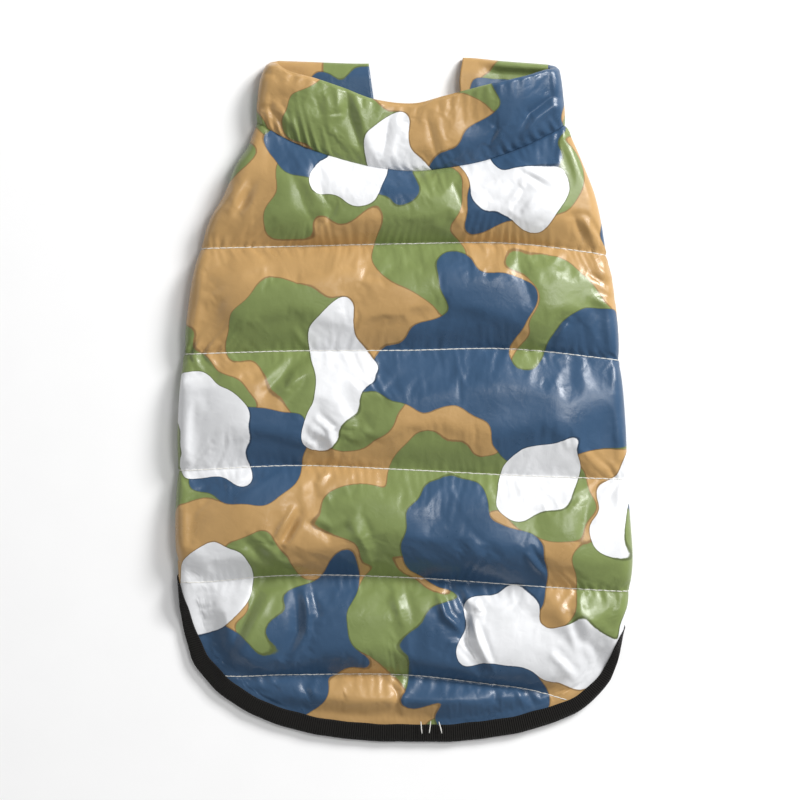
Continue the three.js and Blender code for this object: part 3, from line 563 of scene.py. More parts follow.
def put_attributes(mesh, cloth):
    """Keeps each point's place on the flat cloth, and how far inside or outside each print colour it lies."""
    flat = cloth.reshape(-1, 2)
    place = mesh.attributes.new("cloth", "FLOAT_VECTOR", "POINT")
    place.data.foreach_set("vector", np.column_stack([flat, np.zeros(len(flat))]).astype(np.float32).ravel())
    for name, field in raw_print(flat).items():
        layer = mesh.attributes.new("print_" + name, "FLOAT", "POINT")
        layer.data.foreach_set("value", (field - PRINT_LEVELS[name]).astype(np.float32))


def lay_grid(name, places):
    """A grid primitive with its points laid at rows of places, given in mm."""
    rows, columns = places.shape[:2]
    bpy.ops.object.select_all(action="DESELECT")
    bpy.ops.mesh.primitive_grid_add(x_subdivisions=columns - 1, y_subdivisions=rows - 1, size=1)
    obj = bpy.context.object
    obj.name = name
    obj.data.name = name
    moved = (places.reshape(-1, 3) + (*SHIFT, 0)) * MM
    obj.data.vertices.foreach_set("co", moved.astype(np.float32).ravel())
    obj.data.update()
    return obj


# Sideways settling: its share at the side folds, its share inside, and how far in that is, in mm
SIDEWAYS = (0.06, 0.6, 30)
# Cloth settings of the light printed shell over its padding
SHELL_CLOTH = {
    "quality": 4, "mass": 0.1, "tension_stiffness": 12, "compression_stiffness": 12, "shear_stiffness": 4,
    "tension_damping": 12, "compression_damping": 12, "shear_damping": 8, "bending_damping": 0.5,
    "air_damping": 2, "use_pressure": True, "uniform_pressure_force": 1.2, "vertex_group_mass": "held",
    "pin_stiffness": 1, "shrink_min": -0.012,
}
SETTLING_FRAMES = 14
LEAST_WALL = 1.5


def settle(outer, held, bending, most):
    """Lets the shell cloth wrinkle between its sewn lines. Held points stay, and no point moves further than most."""
    trial = lay_grid("settling_cloth", outer)
    if sum(face.normal.z for face in trial.data.polygons) < 0:
        trial.data.flip_normals()
    group = trial.vertex_groups.new(name="held")
    group.add(np.nonzero(held.ravel())[0].tolist(), 1.0, "REPLACE")
    cloth = trial.modifiers.new("Settling", "CLOTH")
    for name, value in {**SHELL_CLOTH, "bending_stiffness": bending}.items():
        setattr(cloth.settings, name, value)
    cloth.settings.effector_weights.gravity = 0
    cloth.collision_settings.use_collision = False
    cloth.collision_settings.use_self_collision = False
    cloth.point_cache.frame_start, cloth.point_cache.frame_end = 1, SETTLING_FRAMES
    scene = bpy.context.scene
    for number in range(1, SETTLING_FRAMES + 1):
        scene.frame_set(number)
    settled = trial.evaluated_get(bpy.context.evaluated_depsgraph_get()).data
    places = np.empty(outer.size)
    settled.vertices.foreach_get("co", places)
    bpy.data.objects.remove(trial)
    scene.frame_set(1)
    move = places.reshape(outer.shape) / MM - (*SHIFT, 0) - outer
    size = np.maximum(np.linalg.norm(move, axis=2, keepdims=True), 1e-6)
    move *= most * np.tanh(size / most) / size
    x = outer[..., 0]
    inside = np.minimum(x - x.min(axis=1, keepdims=True), x.max(axis=1, keepdims=True) - x)
    move[..., 0] *= lerp(*SIDEWAYS[:2], smoothstep(inside, 0, SIDEWAYS[2]))
    return outer + move


def keep_thick(outer, inner, through):
    """Keeps the outer face at least so far outside the inner one, and above the floor."""
    wall = ((outer - inner) * through).sum(axis=-1, keepdims=True)
    outer = outer + through * np.maximum(LEAST_WALL - wall, 0)
    outer[..., 2] = np.maximum(outer[..., 2], 0.02)
    return outer


def close_wall(name, outer, inner, cloth, lining_at=(0, 0), step=1):
    """A closed wall between two grids of places, the inner one read at every step. Their borders are bridged."""
    faces = lay_grid(name, outer)
    put_attributes(faces.data, cloth)
    back = lay_grid(name + "_inside", inner[::step, ::step])
    put_attributes(back.data, cloth[::step, ::step] + lining_at)
    faces.select_set(True)
    bpy.context.view_layer.objects.active = faces
    bpy.ops.object.join()
    bpy.ops.object.mode_set(mode="EDIT")
    bpy.ops.mesh.select_mode(type="EDGE")
    bpy.ops.mesh.select_all(action="DESELECT")
    bpy.ops.mesh.select_non_manifold()
    bpy.ops.mesh.bridge_edge_loops()
    bpy.ops.mesh.select_all(action="SELECT")
    bpy.ops.mesh.normals_make_consistent(inside=False)
    bpy.ops.object.mode_set(mode="OBJECT")
    bpy.ops.object.shade_smooth()
    return faces


def back_grids():
    """Outer face, inner face and flat cloth of the back, as rows of points in mm."""
    rows, places = flat_back()
    flat = rows.reshape(-1, 2)
    channel, share = (np.repeat(column, rows.shape[1]) for column in zip(*places))
    last = channel == len(row_curves) - 1
    rise = np.where(last, pillow(np.clip(share * 0.5, 0, 0.5)) * (1 - smoothstep(share, 0.35, 1)), pillow(share))
    seen = np.column_stack([np.clip(flat[:, 0], side_left(flat[:, 1]), side_right(flat[:, 1])), flat[:, 1]])
    extra = puckers(flat, channel, share) - fold_depth(seen, FOLDS) * (0.25 + 0.75 * rise)
    outer, inner = back_wall(flat, rise, CROWN + 0.7 * unevenness(flat))
    through = unit(outer - inner)
    from_hem = hem_distance(flat)
    outer = outer + through * (extra * smoothstep(from_hem, MARGIN - 2, MARGIN + 8))[:, None]
    shape = (*rows.shape[:2], 3)
    outer, inner, through = (part.reshape(shape) for part in (outer, inner, through))
    sewn = from_hem.reshape(shape[:2]) < MARGIN - 1
    sewn[[0, *np.cumsum(CHANNEL_ROWS)]] = True
    sewn[:, :MARGIN_COLUMNS] = sewn[:, -MARGIN_COLUMNS:] = True
    return outer, inner, rows, through, sewn


def folded_tape(upper, lower):
    """A tape folded over an edge. Upper and lower hold, station by station, the edge's faces from the edge in."""
    through = unit(upper - lower)
    middle = (upper[:, 0] + lower[:, 0]) / 2
    away = unit(middle - (upper[:, 1] + lower[:, 1]) / 2)
    half = np.linalg.norm(upper[:, 0] - lower[:, 0], axis=1)[:, None] / 2

    def ring(off):
        top, bottom = upper + through * off, lower - through * off
        nose = [
            middle + through[:, 0] * (half + off) * math.sin(angle) + away * (off + 0.9) * math.cos(angle)
            for angle in np.radians(np.linspace(66, -66, 7))
        ]
        return np.concatenate([top[:, ::-1], np.stack(nose, axis=1), bottom], axis=1)

    outer, inner = ring(SEAM_GAP + TAPE), ring(SEAM_GAP)
    outer[..., 2] = np.maximum(outer[..., 2], 0)
    inner[..., 2] = np.maximum(inner[..., 2], 0.3)
    widths = np.linalg.norm(np.diff(outer, axis=1), axis=2).mean(axis=0)
    cloth = np.stack(np.meshgrid(np.cumsum([0, *widths]), run_of(middle)), axis=-1)
    return outer, inner, cloth


TAPE_DEPTHS = np.linspace(0, 1, 6) * (BINDING_WIDTH - TAPE - SEAM_GAP)


def tail_tape():
    """The tail's tape, narrower towards both ends."""
    stations = np.arange(HEM_START + 2, HEM_END - 2, 1.1)
    before, after = stations - HEM_START, HEM_END - stations
    left, right = lerp(0.4, 1, smoothstep(before, 25, 95)), lerp(0.45, 1, smoothstep(after, 30, 125))
    wide = np.where(before > after, right, left)[:, None]
    faces = [back_wall(inset(stations, depth * wide), 0, 0) for depth in TAPE_DEPTHS]
    upper, lower = (np.stack(face, axis=1) for face in zip(*faces))
    wobble = 0.35 * waves(31, 5, 60, 14)(level(stations, 0))
    upper[:, -1, 2] += 0.15
    upper[..., :2] += (inward_at(stations) * wobble[:, None])[:, None]
    return folded_tape(upper, lower)


# Cut edges of the fronts where they lap, with the left front underneath: y, left, right
FRONT_EDGES = ((-130, 17.25, -0.75), (60, 17.25, -0.75), (84, 17.25, -0.75), (125, -2, 18), (155, -15.8, 32.3))
front_edge_left = curve_of(FRONT_EDGES, 1)
front_edge_right = curve_of(FRONT_EDGES, 2)
FRONT_STITCHES = (112, 62, 12, -38, -88)
FRONT_ROWS = 110
FRONT_COLUMNS = 56


def front_columns(y, side):
    """x of a front's points at each y: from the side seam or the leg opening to the lap and over it."""
    off = np.clip((y - ARMHOLE["centre"]) / ARMHOLE["half"], -1, 1)
    scoop = ARMHOLE["depth"] * (1 - off ** 4)
    seam, front = (seam_left(y), front_edge_left(y)) if side < 0 else (seam_right(y), front_edge_right(y))
    outside = seam - side * (SEAM_GAP + scoop)
    lap = front + side * (LAP_WIDTH + 3)
    body = [lerp(outside, lap, share) for share in np.linspace(0, 1, FRONT_COLUMNS + 1)]
    over = [lerp(lap, front, share) for share in (0.1, 0.25, 0.4, 0.55, 0.7, 0.82, 0.92, 1)]
    return np.stack(body + over, axis=-1)


def front_grids(side):
    """Lower face, upper face and flat cloth of one front, as rows of points in mm."""
    neck = NECK_SIDES["left"] if side < 0 else NECK_SIDES["right"]
    down = np.append(np.linspace(0, 1, FRONT_ROWS), 1.0)
    x = np.repeat(front_columns(np.array([0.0]), side), len(down), axis=0)
    for _ in range(14):
        bottom = belly_hem(x)
        y = lerp(neck, bottom + MARGIN, down[:, None])
        y[-1] = bottom[-1]
        wide = np.stack([front_columns(y[:, j], side)[:, j] for j in range(x.shape[1])], axis=1)
        x = lerp(x, wide, 0.6)
    margin = 1 - smoothstep(y - belly_hem(x), MARGIN, MARGIN + 8)
    column = np.arange(x.shape[1])[None, :]
    lap = column > FRONT_COLUMNS
    lines = np.array([neck + 4, *FRONT_STITCHES, -150])
    past = np.searchsorted(-lines, -y, side="left")
    above, below = lines[np.clip(past - 1, 0, 5)], lines[np.clip(past, 1, 6)]
    rise = pillow(np.clip((above - y) / (above - below), 0, 1))
    edge_in = smoothstep(column, 0, 5) * (1 - smoothstep(column, FRONT_COLUMNS - 5, FRONT_COLUMNS))
    squeezed = margin * (TAPE + SEAM_GAP)
    gather = gathers(300 + side, x.ravel(), 5.5, 11).reshape(x.shape)
    dent = 2.3 * (1 - rise * edge_in) * (1 - margin) + 0.5 * gather * np.exp(-((1 - rise) - 0.7) ** 2 * 8) * edge_in
    low = squeezed + np.clip(dent, 0, 3.2) * ~lap
    high = lerp(BELLY_WALL, HEM_WALL, margin) - squeezed
    upper_lap = LAP_WALL + 2 * STRIP_WALL + 3 * SEAM_GAP
    low = np.where(lap, 0 if side < 0 else upper_lap, low)
    high = np.where(lap, LAP_WALL if side < 0 else BELLY_WALL, high)
    return np.stack([x, y, low], axis=-1), np.stack([x, y, high], axis=-1), np.stack([x, y], axis=-1)


def belly_tape(side):
    """The tape along one front's hem, from the side seam to the lap."""
    seam = seam_left(SEAM_END["left"]) if side < 0 else seam_right(SEAM_END["right"])
    start = seam - side * (SEAM_GAP + 1)
    end = (17.25 if side < 0 else -0.75) + side * (LAP_WIDTH + 4)
    x = np.linspace(start, end, max(int(abs(end - start) / 1.2), 8))
    upper = np.stack([
        np.column_stack([x, belly_hem(x) + depth, np.full(len(x), TAPE + SEAM_GAP)]) for depth in TAPE_DEPTHS
    ], axis=1)
    return folded_tape(upper, np.dstack([upper[..., :2], np.full(upper.shape[:2], HEM_WALL - TAPE - SEAM_GAP)]))


COLLAR_ROWS = 56
SEAM_TOUCH = -0.15  # the collar's edge meets the back's edge in the seam
THROAT_COLUMNS = 66


def collar_columns():
    """Each column's zone (-1 or 1 past a side fold), place in it, neck seam and place along, and the longest ends."""
    neck_row = row_lines[0]
    start, end = fold_starts(NECK_SIDES["left"])[0], fold_starts(NECK_SIDES["right"])[1]
    longest = np.array([FOLD_LENGTH + THROAT["left"] - start, FOLD_LENGTH + end - THROAT["right"]])
    seam_past = (start - neck_row[0, 0], neck_row[-1, 0] - end)
    shares = np.arange(THROAT_COLUMNS) / THROAT_COLUMNS
    marks = [(-1, lerp(longest[0], seam_past[0], share), NECK_SIDES["left"]) for share in shares]
    for x, y in neck_row:
        if x < start:
            marks.append((-1, start - x, y))
        elif x > end:
            marks.append((1, x - end, y))
        else:
            marks.append((0, (x - start) / (end - start), y))
    marks += [(1, lerp(longest[1], seam_past[1], share), NECK_SIDES["right"]) for share in shares[::-1]]
    zone, place, seam = (np.array(column, float) for column in zip(*marks))
    run_along = np.where(zone < 0, -place, np.where(zone > 0, end - start + place, place * (end - start)))
    return zone, place, seam, run_along, longest


def collar_row(up, zone, place, seam, run_along, longest):
    """Both faces of one row of the collar, at its share of the way up."""
    left, right, open_left, open_right = (curve_of(COLLAR_SIDES, i)(np.array([up]))[0] for i in (1, 2, 3, 4))
    side = np.where(zone < 0, 0, 1)
    starts = np.array([left + FOLD_REACH, right - FOLD_REACH])
    lengths = np.array([FOLD_LENGTH + open_left - starts[0], FOLD_LENGTH + starts[1] - open_right])
    beyond = np.maximum(place - FOLD_LENGTH, 0) / (longest[side] - FOLD_LENGTH)
    past = np.minimum(place, FOLD_LENGTH) + beyond * (lengths[side] - FOLD_LENGTH)
    outward = np.where(zone < 0, -1.0, 1.0)
    across = np.where(zone == 0, lerp(*starts, place), starts[side] + outward * past)
    x = np.where(zone == 0, across, starts[side] - outward * np.maximum(past - FOLD_LENGTH, 0))
    under = np.where(zone == 0, 0, smoothstep(place, 0, FOLD_LENGTH))
    low = seam + SEAM_TOUCH
    high = lerp(band_top(x), front_top(x), under)
    y = lerp(low, high, up)
    from_seam, from_top = y - low, high - y
    inside = min(1, up * (1 - up) * 5)
    floor = BACK_FLOOR + collar_lift(x) * up ** 1.5 * (1 - under)
    sunk = fold_depth(np.column_stack([x, y]), COLLAR_FOLDS) * (1 - under) * inside
    power = np.clip(0.55 + 0.5 * strength(level(x * 1.5, 0)), 0.1, 1.3)
    power = power + 0.6 * (smoothstep(x, 45, 60) + 1 - smoothstep(x, -70, -35)) * (1 - under)
    gather = 0.9 * power * gathers(401, run_along + 0.4 * from_seam, 3.6, 7.5)
    reach = 4.5 + 4.5 * smoothstep(x, -72, -60) * (1 - smoothstep(x, -40, -28))
    gather = gather * smoothstep(from_seam, 0, 1.8) * np.exp(-(from_seam / reach) ** 1.4)
    gather += 0.35 * gathers(402, run_along, 5, 9) * smoothstep(from_top, 0.5, 2) * np.exp(-from_top / 5)
    soft = 0.8 * unevenness(np.column_stack([run_along * 1.2, y]))
    puffed = pillow(0.9 * up)
    wall = np.maximum(STITCHED + COLLAR_RISE * puffed + soft * inside - sunk + gather, 2.2)
    below = np.full(len(x), BELLY_WALL - 2.4 * smoothstep(up, 0.75, 1))
    nipped = FOLD_REACH - NIP * (1 - puffed)
    outer, inner = folded(across, y, (left, right), floor, wall, below, nipped, FOLD_INSIDE[0])
    rolled = under * np.where(x > 0, smoothstep(x, 40, 54), 0.35 * (1 - smoothstep(x, -62, -50)))
    hollow = smoothstep(up, 0.35, 0.6) * (1 - smoothstep(up, 0.8, 0.9))
    inner[:, 2] += rolled * (2.6 * math.exp(-((up - 0.95) / 0.05) ** 2) - 3.0 * hollow)
    closing = smoothstep(up, 0.93, 1) ** 2
    middle = (outer + inner) / 2
    return lerp(outer, middle, 0.45 * closing), lerp(inner, middle, 0.4 * closing)


def collar_grids():
    """The collar as a band from one throat end round the back of the neck to the other."""
    columns = collar_columns()
    zone, place, _, run_along, _ = columns
    ups = np.linspace(0, 1, COLLAR_ROWS + 1)
    outer, inner = (np.array(face) for face in zip(*(collar_row(up, *columns) for up in ups)))
    cloth = np.array([level(run_along - 108, 20 + up * 42) for up in ups])
    sewn = np.zeros(outer.shape[:2], bool)
    sewn[[0, -1]] = True
    sewn[:, (zone != 0) & (place > FOLD_LENGTH * 0.8)] = True
    return outer, inner, cloth, unit(outer - inner), sewn


def along_lines(line, pitch, start=0.0):
    """Places and headings at even steps along a line of points, in mm."""
    run = run_of(line)
    at = np.arange(start, run[-1] - start, pitch)
    return places_at(at, run, line), unit(places_at(at + 0.8, run, line) - places_at(at - 0.8, run, line))


# Three short stitches left across the tape at the middle of the tail: two ends each, in mm
TAPE_STITCHES = [((x, -182.4, 7.2), (x + lean, -185.6, 7.2)) for x, lean in ((9.4, 0.3), (14.6, -0.4), (19.8, 0.9))]


def to_tape(end, ahead):
    """Places on the back straight on from a stitch line's end to the tape."""
    steps = np.arange(1, 20)[:, None] * ahead / np.linalg.norm(ahead)
    on = end + steps
    on = on[np.cumprod(hem_distance(on) > BINDING_WIDTH - 2.5).astype(bool)]
    return back_wall(on, 0, 0)[0] if len(on) else np.empty((0, 3))


def sew(name, runs, length, width, seed):
    """One thread stitch, copied to each place of the runs and joined."""
    rng = random.Random(seed)
    bpy.ops.object.select_all(action="DESELECT")
    bpy.ops.mesh.primitive_uv_sphere_add(segments=8, ring_count=6, radius=0.5)
    first = bpy.context.object
    first.name = name
    bpy.ops.object.shade_smooth()
    copies = []
    for places, headings in runs:
        for place, heading in zip(places, headings):
            lean = Vector(heading) + Vector((rng.uniform(-0.09, 0.09), rng.uniform(-0.09, 0.09), 0))
            copy = first.copy()
            copy.data = first.data.copy()
            copy.rotation_mode = "QUATERNION"
            copy.rotation_quaternion = lean.to_track_quat("X", "Z")
            copy.location = Vector(place + (*SHIFT, 0)) * MM
            copy.scale = Vector((length * rng.uniform(0.85, 1.1), width, width * 0.7)) * MM
            bpy.context.collection.objects.link(copy)
            copies.append(copy)
    bpy.data.objects.remove(first)
    for copy in copies:
        copy.select_set(True)
    bpy.context.view_layer.objects.active = copies[0]
    bpy.ops.object.join()
    joined = bpy.context.object
    joined.name = name
    bpy.ops.object.transform_apply(location=True, rotation=True, scale=True)
    bpy.context.scene.cursor.location = (0, 0, 0)
    bpy.ops.object.origin_set(type="ORIGIN_CURSOR")
    return joined


# Finishes
def linear(code):
    """An sRGB hex colour as linear values."""
    parts = [int(code[i:i + 2], 16) / 255 for i in (1, 3, 5)]
    return [p / 12.92 if p <= 0.04045 else ((p + 0.055) / 1.055) ** 2.4 for p in parts]


def give(tree, node, inputs):
    """Gives inputs of a node a value or a link."""
    for name, value in inputs.items():
        socket = node.inputs[name]
        if isinstance(value, bpy.types.NodeSocket):
            tree.links.new(value, socket)
        else:
            socket.default_value = (*value[:3], 1) if socket.type == "RGBA" else value


def add_node(tree, kind, inputs=None, **settings):
    made = tree.nodes.new(kind)
    for name, value in settings.items():
        setattr(made, name, value)
    give(tree, made, inputs or {})
    return made


def new_finish(name):
    finish = bpy.data.materials.new(name)
    finish.use_nodes = True
    return finish, finish.node_tree, finish.node_tree.nodes["Principled BSDF"]


def ribs(tree, across, pitch):
    """A sine along one direction of the flat cloth, with one wave a pitch in mm."""
    turned = add_node(tree, "ShaderNodeMath", {0: across, 1: math.tau / pitch}, operation="MULTIPLY")
    return add_node(tree, "ShaderNodeMath", {0: turned.outputs[0]}, operation="SINE").outputs[0]


def printed_taffeta(settings):
    """Printed nylon taffeta: flat print colours with thin dark outlines, fine crinkles and a soft gloss."""
    finish, tree, shader = new_finish("Printed nylon taffeta")
    cloth = add_node(tree, "ShaderNodeAttribute", attribute_name="cloth").outputs["Vector"]
    ragged = add_node(tree, "ShaderNodeTexNoise", {"Vector": cloth, "Scale": 0.45, "Detail": 2.0})
    colour = settings.tan_print
    for name in ("olive", "navy", "white"):
        layer = add_node(tree, "ShaderNodeAttribute", attribute_name="print_" + name).outputs["Fac"]
        edge = add_node(tree, "ShaderNodeMath", {0: ragged.outputs[0], 1: 0.4, 2: layer}, operation="MULTIPLY_ADD")
        edge = add_node(tree, "ShaderNodeMath", {0: edge.outputs[0], 1: 0.2}, operation="SUBTRACT").outputs[0]
        rim, inside = (
            add_node(tree, "ShaderNodeMapRange", inputs, interpolation_type="SMOOTHSTEP").outputs[0]
            for inputs in ({0: edge, 1: 0.45, 2: 0.95, 3: 0.8, 4: 0.0}, {0: edge, 1: -0.15, 2: 0.2, 3: 1.0, 4: 0.0})
        )
        inputs = {0: 1.0, 6: colour, 7: (0.42, 0.42, 0.42)}
        darker = add_node(tree, "ShaderNodeMix", inputs, data_type="RGBA", blend_type="MULTIPLY").outputs[2]
        ringed = add_node(tree, "ShaderNodeMix", {0: rim, 6: colour, 7: darker}, data_type="RGBA").outputs[2]
        inputs = {0: inside, 6: ringed, 7: getattr(settings, name + "_print")}
        colour = add_node(tree, "ShaderNodeMix", inputs, data_type="RGBA").outputs[2]
    cloudy = add_node(tree, "ShaderNodeTexNoise", {"Vector": cloth, "Scale": 0.05, "Detail": 3.0})
    tone, gloss = (
        add_node(tree, "ShaderNodeMapRange", {0: cloudy.outputs[0], 1: 0.3, 2: 0.7, 3: low, 4: high}).outputs[0]
        for low, high in ((0.9, 1.04), (0.26, 0.38))
    )
    grey = add_node(tree, "ShaderNodeCombineColor", {0: tone, 1: tone, 2: tone}).outputs[0]
    toned = add_node(tree, "ShaderNodeMix", {0: 1.0, 6: colour, 7: grey}, data_type="RGBA", blend_type="MULTIPLY")
    crinkle = add_node(tree, "ShaderNodeTexNoise", {"Vector": cloth, "Scale": 0.16, "Detail": 4.0, "Distortion": 0.6})
    parts = add_node(tree, "ShaderNodeSeparateXYZ", {0: cloth})
    # The real weave, about 0.2 mm, is too fine to show, so it is drawn coarser, 0.9 mm apart
    warp, weft = (ribs(tree, parts.outputs[i], 0.9) for i in (0, 1))
    weave = add_node(tree, "ShaderNodeMath", {0: warp, 1: weft}, operation="MULTIPLY")
    fine = add_node(tree, "ShaderNodeBump", {"Strength": 0.12, "Distance": 0.0001, "Height": weave.outputs[0]})
    wrinkled = add_node(
        tree, "ShaderNodeBump",
        {"Strength": 0.22, "Distance": 0.0012, "Height": crinkle.outputs[0], "Normal": fine.outputs[0]},
    )
    give(tree, shader, {
        "Base Color": toned.outputs[2], "Roughness": gloss, "Sheen Weight": 0.05, "Sheen Roughness": 0.4,
        "Normal": wrinkled.outputs[0],
    })
    return finish


def ribbed_tape(settings):
    """Black grosgrain tape: matt, with fine ribs from edge to edge and a painted highlight, a lighter copy of the
    tape colour, on the rib crests.
    """
    finish, tree, shader = new_finish("Ribbed polyester tape")
    cloth = add_node(tree, "ShaderNodeAttribute", attribute_name="cloth").outputs["Vector"]
    parts = add_node(tree, "ShaderNodeSeparateXYZ", {0: cloth})
    rib, cross = ribs(tree, parts.outputs[1], 1.25), ribs(tree, parts.outputs[0], 0.55)
    both = add_node(tree, "ShaderNodeMath", {0: cross, 1: 0.3, 2: rib}, operation="MULTIPLY_ADD").outputs[0]
    bright = add_node(tree, "ShaderNodeMapRange", {0: both, 1: -1.2, 2: 1.3, 3: 0.0, 4: 1.0}).outputs[0]
    # Painted highlight: the rib crests get a lighter copy of the tape colour, where light would catch them
    lit = [min(1, part * 1.4 + 0.001) for part in settings.tape_colour]
    tone = add_node(tree, "ShaderNodeMix", {0: bright, 6: settings.tape_colour, 7: lit}, data_type="RGBA")
    bump = add_node(tree, "ShaderNodeBump", {"Strength": 0.8, "Distance": 0.0004, "Height": both})
    give(tree, shader, {
        "Base Color": tone.outputs[2], "Roughness": 0.82, "Sheen Weight": 0.06, "Specular IOR Level": 0.25,
        "Normal": bump.outputs[0],
    })
    return finish


def sewing_thread(settings):
    """Twisted sewing thread: off white, with a fine twist."""
    finish, tree, shader = new_finish("Polyester sewing thread")
    place = add_node(tree, "ShaderNodeTexCoord").outputs["Object"]
    twist = add_node(tree, "ShaderNodeTexNoise", {"Vector": place, "Scale": 1400.0, "Detail": 1.0}).outputs[0]
    inputs = {0: twist, 6: (0.62, 0.62, 0.6), 7: settings.thread_colour}
    tone = add_node(tree, "ShaderNodeMix", inputs, data_type="RGBA")
    give(tree, shader, {"Base Color": tone.outputs[2], "Roughness": 0.55})
    return finish


def closure_pile(name, pitch, height):
    """Nylon hook and loop tape: black, with rows of short pile."""
    finish, tree, shader = new_finish(name)
    place = add_node(tree, "ShaderNodeTexCoord").outputs["Object"]
    rows = add_node(tree, "ShaderNodeTexVoronoi", {"Vector": place, "Scale": 1000.0 / pitch}).outputs["Distance"]
    inputs = {0: rows, 6: (0.03, 0.03, 0.028), 7: (0.01, 0.01, 0.01)}
    tone = add_node(tree, "ShaderNodeMix", inputs, data_type="RGBA")
    bump = add_node(tree, "ShaderNodeBump", {"Strength": 0.9, "Distance": height, "Height": rows})
    give(tree, shader, {"Base Color": tone.outputs[2], "Roughness": 0.8, "Normal": bump.outputs[0]})
    return finish


def seamless_paper():
    """Pale studio paper: matt and almost white."""
    finish, tree, shader = new_finish("Pale studio paper")
    place = add_node(tree, "ShaderNodeTexCoord").outputs["Object"]
    grain = add_node(tree, "ShaderNodeTexNoise", {"Vector": place, "Scale": 30.0, "Detail": 3.0}).outputs[0]
    inputs = {0: grain, 6: (0.88, 0.88, 0.88), 7: (0.91, 0.91, 0.91)}
    tone = add_node(tree, "ShaderNodeMix", inputs, data_type="RGBA")
    give(tree, shader, {"Base Color": tone.outputs[2], "Roughness": 0.95})
    return finish


def finish_named(name, make, *arguments):
    return bpy.data.materials.get(name) or make(*arguments)


def colour_property(label, note, code):
    return bpy.props.FloatVectorProperty(
        name=label, description=note, subtype="COLOR", size=3, min=0, max=1, default=linear(code)
    )


def length_property(label, note, size):
    return bpy.props.FloatProperty(
        name=label, description=note, default=size, min=0.0001, max=5, unit="LENGTH", precision=4
    )


class ShellSettings(bpy.types.PropertyGroup):
    """Colours of the printed shell."""

    tan_print: colour_property("Tan", "Ground colour of the print", "#b5915e")
    olive_print: colour_property("Olive", "Second colour of the print", "#788650")
    navy_print: colour_property("Navy", "Third colour of the print", "#35506d")
    white_print: colour_property("White", "Lightest colour of the print", "#dfe0e2")


class TrimSettings(bpy.types.PropertyGroup):
    """Sizes and colours of the tape and the sewing."""

    tape_colour: colour_property("Tape", "Colour of the ribbed tape at the hems", "#0c0a07")
    thread_colour: colour_property("Thread", "Colour of the quilting thread", "#e4e1d8")
    stitch_length: length_property("Stitch length", "Length of one stitch on the surface", 0.0044)
    stitch_pitch: length_property("Stitch pitch", "Distance between neighbouring stitches", 0.0036)
    thread_width: length_property("Thread width", "Width of the sewing thread", 0.0006)


class StudioSettings(bpy.types.PropertyGroup):
    """Camera and light."""

    camera_height: length_property("Camera height", "Height of the camera above the floor", 1.6)
    frame_width: length_property("Frame width", "Width of the picture at the garment", 0.448)


def declare(obj, finish, node):
    """Gives a piece its finish, hides the loaded part that it replaces and attaches the piece to the root body."""
    obj.data.materials.clear()
    obj.data.materials.append(finish)
    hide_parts(node)
    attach(obj, "root")


class VEST_OT_back(bpy.types.Operator):
    """Quilted back panel, wrapped round both side folds to the side seams underneath"""

    bl_idname = "vest.back"
    bl_label = "Back panel"

    def execute(self, context):
        outer, inner, flat, through, sewn = back_grids()
        outer = keep_thick(settle(outer, sewn, 0.3, 1.8), inner, through)
        back = close_wall("back_shell", outer, inner, flat, (37, -52), LINING_STEP)
        shell = finish_named("Printed nylon taffeta", printed_taffeta, context.scene.vest_shell)
        declare(back, shell, "back_panel")
        return {"FINISHED"}


class VEST_OT_fronts(bpy.types.Operator):
    """Both front panels, lying under the back, lapped at the middle"""

    bl_idname = "vest.fronts"
    bl_label = "Front panels"

    def execute(self, context):
        shell = finish_named("Printed nylon taffeta", printed_taffeta, context.scene.vest_shell)
        for side, name in ((-1, "left_front"), (1, "right_front")):
            outer, inner, flat = front_grids(side)
            front = close_wall(name + "_shell", outer, inner, flat * (-1, 1) + (side * 90, 35), (21, 44))
            declare(front, shell, name)
        return {"FINISHED"}


class VEST_OT_collar(bpy.types.Operator):
    """Padded collar band, folded at both sides and open at the throat"""

    bl_idname = "vest.collar"
    bl_label = "Collar"

    def execute(self, context):
        outer, inner, cloth, through, sewn = collar_grids()
        outer = keep_thick(settle(outer, sewn, 0.2, 1.2), inner, through)
        band = close_wall("collar_shell", outer, inner, cloth, step=LINING_STEP)
        shell = finish_named("Printed nylon taffeta", printed_taffeta, context.scene.vest_shell)
        declare(band, shell, "collar")
        return {"FINISHED"}


class VEST_OT_bindings(bpy.types.Operator):
    """Ribbed tape folded over the hems of the back and the fronts"""

    bl_idname = "vest.bindings"
    bl_label = "Bindings"

    def execute(self, context):
        tape = finish_named("Ribbed polyester tape", ribbed_tape, context.scene.vest_trim)
        for name, grids, under in (
            ("tail_binding", tail_tape(), "back_shell"),
            ("left_belly_binding", belly_tape(-1), "left_front_shell"),
            ("right_belly_binding", belly_tape(1), "right_front_shell"),
        ):
            outer, inner, cloth = grids
            bound = close_wall(name + "_tape", outer, inner, cloth)
            declare(bound, tape, name)
        return {"FINISHED"}


